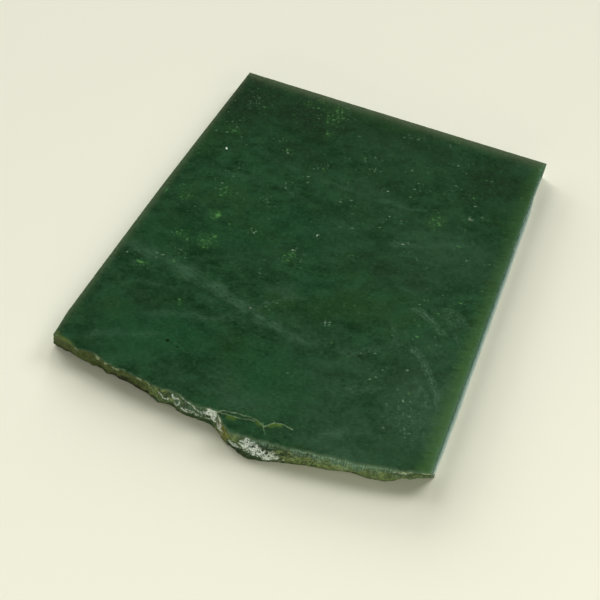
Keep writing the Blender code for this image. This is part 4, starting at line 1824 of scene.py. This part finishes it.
        # Painted highlight: a pale line along the front rim, stronger towards the right
        inset = sheet.ramp(sheet.mask("from_rim"), *self.front_rim_inset, (0.0, 0.65))
        front = sheet.math("POWER", inset, 2.0)
        front = sheet.times(front, sheet.ramp(across, *self.front_rim_across, (0.4, 1.0)))
        front = sheet.times(front, sheet.ramp(back, *self.front_rim_back))
        colour = sheet.mix(front, colour, self.front_rim_highlight)
        colour = sheet.mix(self.spots(sheet, place, self.rind_spots), colour, self.rind)
        chipped = sheet.times(sheet.mask("chipped"), 0.5)
        colour = sheet.mix(chipped, colour, self.chip)
        colour = sheet.mix(sheet.mask("crack_glow"), colour, self.crack_glow)
        uneven = sheet.ramp(sheet.noise(place, 1.6, 3.0, 0.6), 0.36, 0.58, (0.35, 0.95))
        line = sheet.times(sheet.mask("crack_line"), uneven)
        return sheet.mix(line, colour, self.crack)


@dataclass(frozen=True)
class SawnJade:
    """Sawn, unpolished jade: green, and pale on the right wall below its wet rim, partly stone dust
    and partly a painted reflection of the floor.
    """

    effects: JadeEffects
    # The pale colours stand partly for stone dust and partly for a painted reflection of the bright
    # floor
    dark: Colour = shade(186, 204, 196)
    light: Colour = shade(212, 226, 218)
    olive: Colour = shade(206, 216, 200)
    powder_and_reflection: Colour = shade(226, 240, 238)
    grey: Colour = shade(134, 162, 152)
    wet: Colour = shade(68, 101, 82)
    clean: Colour = shade(62, 94, 68)
    lines_per_mm: float = 2.6
    # Heights of the grey and the wet stone, and places of the pale chips, partly painted light, and
    # of the clean walls
    grey_level: Pair = (2.2, 4.6)
    wet_level: Pair = (4.6, 6.6)
    chips_and_light_backward: Pair = (-90.0, -12.0)
    clean_until: Pair = (107.0, 98.0)
    specular: float = 0.0
    relief: Pair = (0.6, 0.06)

    def material(self, origin: Array) -> bpy.types.Material:
        """Builds the finish, whose saw lines run a little aslant down the walls."""
        material, sheet, shader = new_material("sawn_jade")
        place = slab_place(sheet, origin)
        body = sheet.group(
            self.effects.body, Place=place, Dark=self.dark, Light=self.light, Olive=self.olive
        )
        drawn = sheet.mapped(place, (0.0, 0.0, 0.0), (0.06, 0.06, self.lines_per_mm))
        lines = sheet.noise(drawn, 1.0, 2.0, 0.6)
        shine = sheet.ramp(lines, 0.5, 0.7, (0.0, 0.5))
        colour = sheet.mix(shine, body.outputs["Colour"], self.powder_and_reflection)
        across, back, up = sheet.axes(place)
        ragged = sheet.times(sheet.noise(place, 0.9, 4.0, 0.7), 3.0)
        level = sheet.plus(up, ragged)
        colour = sheet.mix(sheet.ramp(level, *self.grey_level), colour, self.grey)
        colour = sheet.mix(sheet.ramp(level, *self.wet_level), colour, self.wet)
        # Pale chips, thicker towards the back corner: partly chipped dust, partly painted light on
        # the brightly lit wall
        chips = sheet.ramp(sheet.noise(place, 1.2, 4.0, 0.7), 0.54, 0.64)
        backward = sheet.ramp(back, *self.chips_and_light_backward, (0.15, 0.75))
        colour = sheet.mix(sheet.times(chips, backward), colour, self.powder_and_reflection)
        clean = sheet.ramp(across, *self.clean_until, (0.0, 0.8))
        colour = sheet.mix(clean, colour, self.clean)
        rough = sheet.ramp(lines, 0.3, 0.7, (0.6, 0.8))
        grain = sheet.group(self.effects.grain, Place=place, Cells=3.0)
        height = sheet.plus(grain.outputs["Height"], sheet.times(lines, 0.8))
        normal = sheet.bump(height, self.relief)
        sheet.fill(shader, Base_Color=colour, Roughness=rough, Normal=normal)
        sheet.fill(shader, Specular_IOR_Level=self.specular)
        return material


@dataclass(frozen=True)
class WeatheredRind:
    """The natural edge: olive rind, teal and ochre bands, pale lines and granular white crust."""

    effects: JadeEffects
    dark: Colour = shade(32, 56, 32)
    light: Colour = shade(74, 104, 68)
    olive_tint: Colour = shade(74, 82, 38)
    olive: Colour = shade(140, 158, 100)
    olive_deep: Colour = shade(86, 103, 57)
    left_olive: Colour = shade(51, 63, 12)
    ochre: Colour = shade(116, 114, 40)
    teal: Colour = shade(132, 172, 152)
    crust: Colour = shade(250, 254, 255)
    crust_shadow: Colour = shade(184, 200, 182)
    pale: Colour = shade(206, 222, 186)
    dust: Colour = shade(176, 188, 134)
    # Colour of the painted highlight along the rim
    rim: Colour = shade(122, 156, 112)
    # Dark tone for the fine mottle, and painted shade for the grain's pits and the dark patches low
    # on the edge
    hollow: Colour = shade(26, 31, 9)
    # Colour of the painted shade at the foot
    foot: Colour = shade(44, 44, 18)
    # Heights of the rim's painted highlight and the foot's painted shade, how far across that shade
    # fades, and how far across the left part's darks reach
    rim_highlight_level: Pair = (6.2, 6.9)
    foot_shade_level: Pair = (2.6, 1.2)
    foot_shade_fade: Pair = (30.0, 38.0)
    left_until: Pair = (34.0, 29.0)
    specular: float = 0.15
    stone_ior: float = 1.55
    relief: Pair = (0.8, 0.12)

    def material(self, origin: Array) -> bpy.types.Material:
        """Builds the finish: the broken stone's green under one mask after another."""
        material, sheet, shader = new_material("weathered_rind")
        place = slab_place(sheet, origin)
        grain = sheet.group(self.effects.grain, Place=place, Cells=2.4)
        coarse = sheet.noise(place, 0.9, 4.0, 0.65)
        colour = self.minerals(sheet, place, coarse)
        # Painted shade in the grain's pits
        pits = sheet.times(grain.outputs["Pits"], 0.6)
        colour = sheet.mix(pits, colour, self.hollow)
        colour = self.crusts(sheet, place, colour)
        rough = sheet.ramp(coarse, 0.3, 0.7, (0.42, 0.66))
        rough = sheet.plus(rough, sheet.times(sheet.mask("white_crust"), 0.25))
        normal = sheet.bump(grain.outputs["Height"], self.relief)
        sheet.fill(shader, Base_Color=colour, Roughness=rough, Normal=normal)
        sheet.fill(shader, IOR=self.stone_ior, Specular_IOR_Level=self.specular)
        return material

    def minerals(self, sheet: Sheet, place: Socket, coarse: Socket) -> Socket:
        """The broken stone under its olive rind, its ochre stains and its teal band.

        A painted highlight lightens the rind at the rim, and painted shade darkens its foot and dark
        patches low on the edge.

        Args:
            sheet: The material's sheet.
            place: Millimetres from the back left corner.
            coarse: Cloudy noise of about a millimetre.

        Returns:
            The colour before the pits and the crust.
        """
        body = sheet.group(
            self.effects.body, Place=place, Dark=self.dark, Light=self.light, Olive=self.olive_tint
        )
        fine = sheet.noise(place, 2.6, 4.0, 0.7)
        colour = body.outputs["Colour"]
        rind = sheet.mix(sheet.ramp(coarse, 0.38, 0.62), self.olive_deep, self.olive)
        patchy = sheet.ramp(fine, 0.34, 0.56, (0.55, 1.0))
        olive = sheet.times(sheet.mask(Mineral.OLIVE.value), patchy)
        colour = sheet.mix(olive, colour, rind)
        ochre = sheet.times(sheet.mask(Mineral.OCHRE.value), patchy)
        colour = sheet.mix(ochre, colour, self.ochre)
        upright = sheet.mapped(place, (0.0, 0.0, 0.0), (3.6, 0.5, 0.16))
        fibre = sheet.ramp(sheet.noise(upright, 1.0, 3.0, 0.65), 0.4, 0.64, (0.12, 1.0))
        teal = sheet.times(sheet.mask(Mineral.TEAL.value), fibre)
        colour = sheet.mix(teal, colour, self.teal)
        colour = sheet.mix(sheet.ramp(fine, 0.54, 0.72, (0.0, 0.6)), colour, self.dust)
        colour = sheet.mix(sheet.ramp(fine, 0.46, 0.3, (0.0, 0.65)), colour, self.hollow)
        across, _, up = sheet.axes(place)
        ragged = sheet.plus(up, sheet.times(coarse, 1.6))
        # Painted highlight: the rind lightens near the rim
        colour = sheet.mix(sheet.ramp(ragged, *self.rim_highlight_level, (0.0, 0.55)), colour, self.rim)
        # Painted shade: the rind darkens towards the foot, where the edge is undercut, most on the
        # left
        shaded = sheet.ramp(across, *self.foot_shade_fade, (0.7, 0.25))
        foot = sheet.times(sheet.ramp(ragged, *self.foot_shade_level), shaded)
        colour = sheet.mix(foot, colour, self.foot)
        left = sheet.ramp(across, *self.left_until, (0.0, 0.75))
        colour = sheet.mix(left, colour, self.left_olive)
        # Painted shade in the dark patches low on the edge
        dark = sheet.times(sheet.mask(Mineral.DARK.value), 0.95)
        return sheet.mix(dark, colour, self.hollow)

    def crusts(self, sheet: Sheet, place: Socket, colour: Socket) -> Socket:
        """Lays the pale lines and the clumps of granular white crust over the colour."""
        broken = sheet.ramp(sheet.noise(place, 2.2, 4.0, 0.7), 0.36, 0.58, (0.1, 0.9))
        pale = sheet.times(sheet.mask(Mineral.PALE.value), broken)
        colour = sheet.mix(pale, colour, self.pale)
        granules = sheet.noise(place, 3.0, 3.0, 0.65)
        white = sheet.mix(sheet.ramp(granules, 0.4, 0.58), self.crust_shadow, self.crust)
        clumps = sheet.ramp(sheet.noise(place, 1.3, 5.0, 0.75), 0.39, 0.48)
        crust = sheet.times(sheet.mask(Mineral.CRUST.value), clumps)
        colour = sheet.mix(crust, colour, white)
        line = sheet.times(sheet.mask("crack_line"), 0.6)
        return sheet.mix(line, colour, self.pale)


@dataclass(frozen=True)
class SoftLight:
    """A rectangular light that faces the slab: where it stands, in degrees and metres, and its power.

    The azimuth is counted from straight behind the slab towards its left.
    """

    name: str
    azimuth: float
    elevation: float
    distance: float
    width: float
    height: float
    power: float
    colour: tuple[float, float, float] = (1.0, 1.0, 1.0)
    mirrored: bool = False

    def build(self) -> bpy.types.Object:
        """Makes the light, level along its width and turned to face the origin."""
        turn, rise = math.radians(self.azimuth), math.radians(self.elevation)
        away = np.array(
            [-math.sin(turn) * math.cos(rise), math.cos(turn) * math.cos(rise), math.sin(rise)]
        )
        light = bpy.data.lights.new(self.name, "AREA")
        light.shape = "RECTANGLE"
        light.size = self.width
        light.size_y = self.height
        light.energy = self.power
        light.color = self.colour
        lamp = bpy.data.objects.new(self.name, light)
        side = np.cross((0.0, 0.0, 1.0), away)
        side = side / np.linalg.norm(side)
        axes = np.column_stack([side, np.cross(away, side), away])
        lamp.matrix_world = placed(axes, away * self.distance)
        lamp.visible_glossy = self.mirrored
        bpy.context.collection.objects.link(lamp)
        return lamp


@dataclass(frozen=True)
class Studio:
    """A pale floor, soft lights from behind and beside, two small ones near in front, the camera."""

    floor_colour: Colour = shade(243, 242, 224)
    floor_half: float = 1.6
    floor_drop: float = 0.02 * MM
    floor_roughness: float = 0.9
    floor_specular: float = 0.1
    sky: Colour = (1.0, 1.0, 1.0, 1.0)
    sky_strength: float = 0.02
    lights: tuple[SoftLight, ...] = (
        SoftLight("back_low_light", 20.0, 15.0, 8.0, 3.2, 3.2, 268.0),
        SoftLight("left_low_light", 55.0, 15.0, 8.0, 6.4, 3.2, 450.0),
        SoftLight("left_side_light", 100.0, 18.0, 8.0, 3.2, 3.2, 95.0),
        SoftLight("left_high_light", 55.0, 42.0, 8.0, 3.2, 3.2, 145.0),
        SoftLight("right_back_light", -35.0, 36.0, 8.0, 3.2, 3.2, 222.0),
        SoftLight("high_back_light", -10.0, 56.0, 8.0, 3.2, 3.2, 106.0),
        SoftLight("front_light", 186.0, 13.0, 0.5, 0.5, 0.12, 0.62, (0.96, 1.0, 0.78), True),
        SoftLight("right_light", 240.0, 30.0, 0.45, 0.5, 0.24, 0.46, (1.0, 0.98, 0.88), True),
    )
    lens: float = 54.0
    sensor: float = 36.0
    clip_start: float = 0.01
    # Camera place and axes in metres: right, up and backwards, as columns of its turn
    camera_place: tuple[float, float, float] = (0.05461, -0.17267, 0.20395)
    camera_right: tuple[float, float, float] = (0.921063, 0.385492, 0.055131)
    camera_up: tuple[float, float, float] = (-0.331576, 0.702122, 0.630145)
    camera_back: tuple[float, float, float] = (0.204207, -0.598683, 0.774518)

    def build(self) -> None:
        """Sets up the floor, the lights, the sky and the camera."""
        self.floor()
        for light in self.lights:
            light.build()
        self.sky_light()
        self.camera()

    def floor(self) -> bpy.types.Object:
        """A level sheet just below the slab's underside."""
        half = self.floor_half
        corners = [(-half, -half), (half, -half), (half, half), (-half, half)]
        mesh = bpy.data.meshes.new("studio_floor")
        mesh.from_pydata([(x, y, -self.floor_drop) for x, y in corners], [], [(0, 1, 2, 3)])
        material, sheet, shader = new_material("studio_paper")
        sheet.fill(shader, Base_Color=self.floor_colour, Roughness=self.floor_roughness)
        sheet.fill(shader, Specular_IOR_Level=self.floor_specular)
        mesh.materials.append(material)
        floor = bpy.data.objects.new("studio_floor", mesh)
        bpy.context.collection.objects.link(floor)
        return floor

    def sky_light(self) -> None:
        """An even dim light from all round."""
        world = bpy.data.worlds.new("studio_sky")
        world.use_nodes = True
        background = world.node_tree.nodes["Background"]
        background.inputs["Color"].default_value = self.sky
        background.inputs["Strength"].default_value = self.sky_strength
        bpy.context.scene.world = world

    def camera(self) -> bpy.types.Object:
        """The camera, above the front right and turned a little about its own axis."""
        camera = bpy.data.cameras.new("camera")
        camera.lens = self.lens
        camera.sensor_width = self.sensor
        camera.clip_start = self.clip_start
        eye = bpy.data.objects.new("camera", camera)
        axes = np.column_stack([self.camera_right, self.camera_up, self.camera_back])
        eye.matrix_world = placed(axes, np.array(self.camera_place))
        bpy.context.collection.objects.link(eye)
        bpy.context.scene.camera = eye
        bpy.context.scene.view_settings.view_transform = "Standard"
        return eye


def placed(axes: Array, place: Array) -> Matrix:
    """The matrix of an object whose axes are the given columns and which stands at a place."""
    matrix = np.eye(4)
    matrix[:3, :3] = axes
    matrix[:3, 3] = place
    return Matrix(matrix.tolist())


def write_sizes() -> None:
    """Brings the view layer up to date."""
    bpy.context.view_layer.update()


def main() -> None:
    """Builds the slab, dresses it and sets up the studio."""
    logging.basicConfig(level=logging.INFO, format="%(name)s: %(message)s")
    slab = JadeSlab()
    stone = slab.build()
    points, faces = len(stone.data.vertices), len(stone.data.polygons)
    LOG.info("%s: %d points, %d faces", stone.name, points, faces)
    effects = JadeEffects.build()
    origin = slab.origin()
    finishes = {
        Face.POLISHED: PolishedJade(effects).material(origin),
        Face.SAWN: SawnJade(effects).material(origin),
        Face.RIND: WeatheredRind(effects).material(origin),
    }
    slab.dress(stone, finishes)
    for face, finish in finishes.items():
        LOG.info("%s finish: %d nodes", face.name.lower(), len(finish.node_tree.nodes))
    Studio().build()
    LOG.info("studio ready")
    write_sizes()


if __name__ == "__main__":
    main()
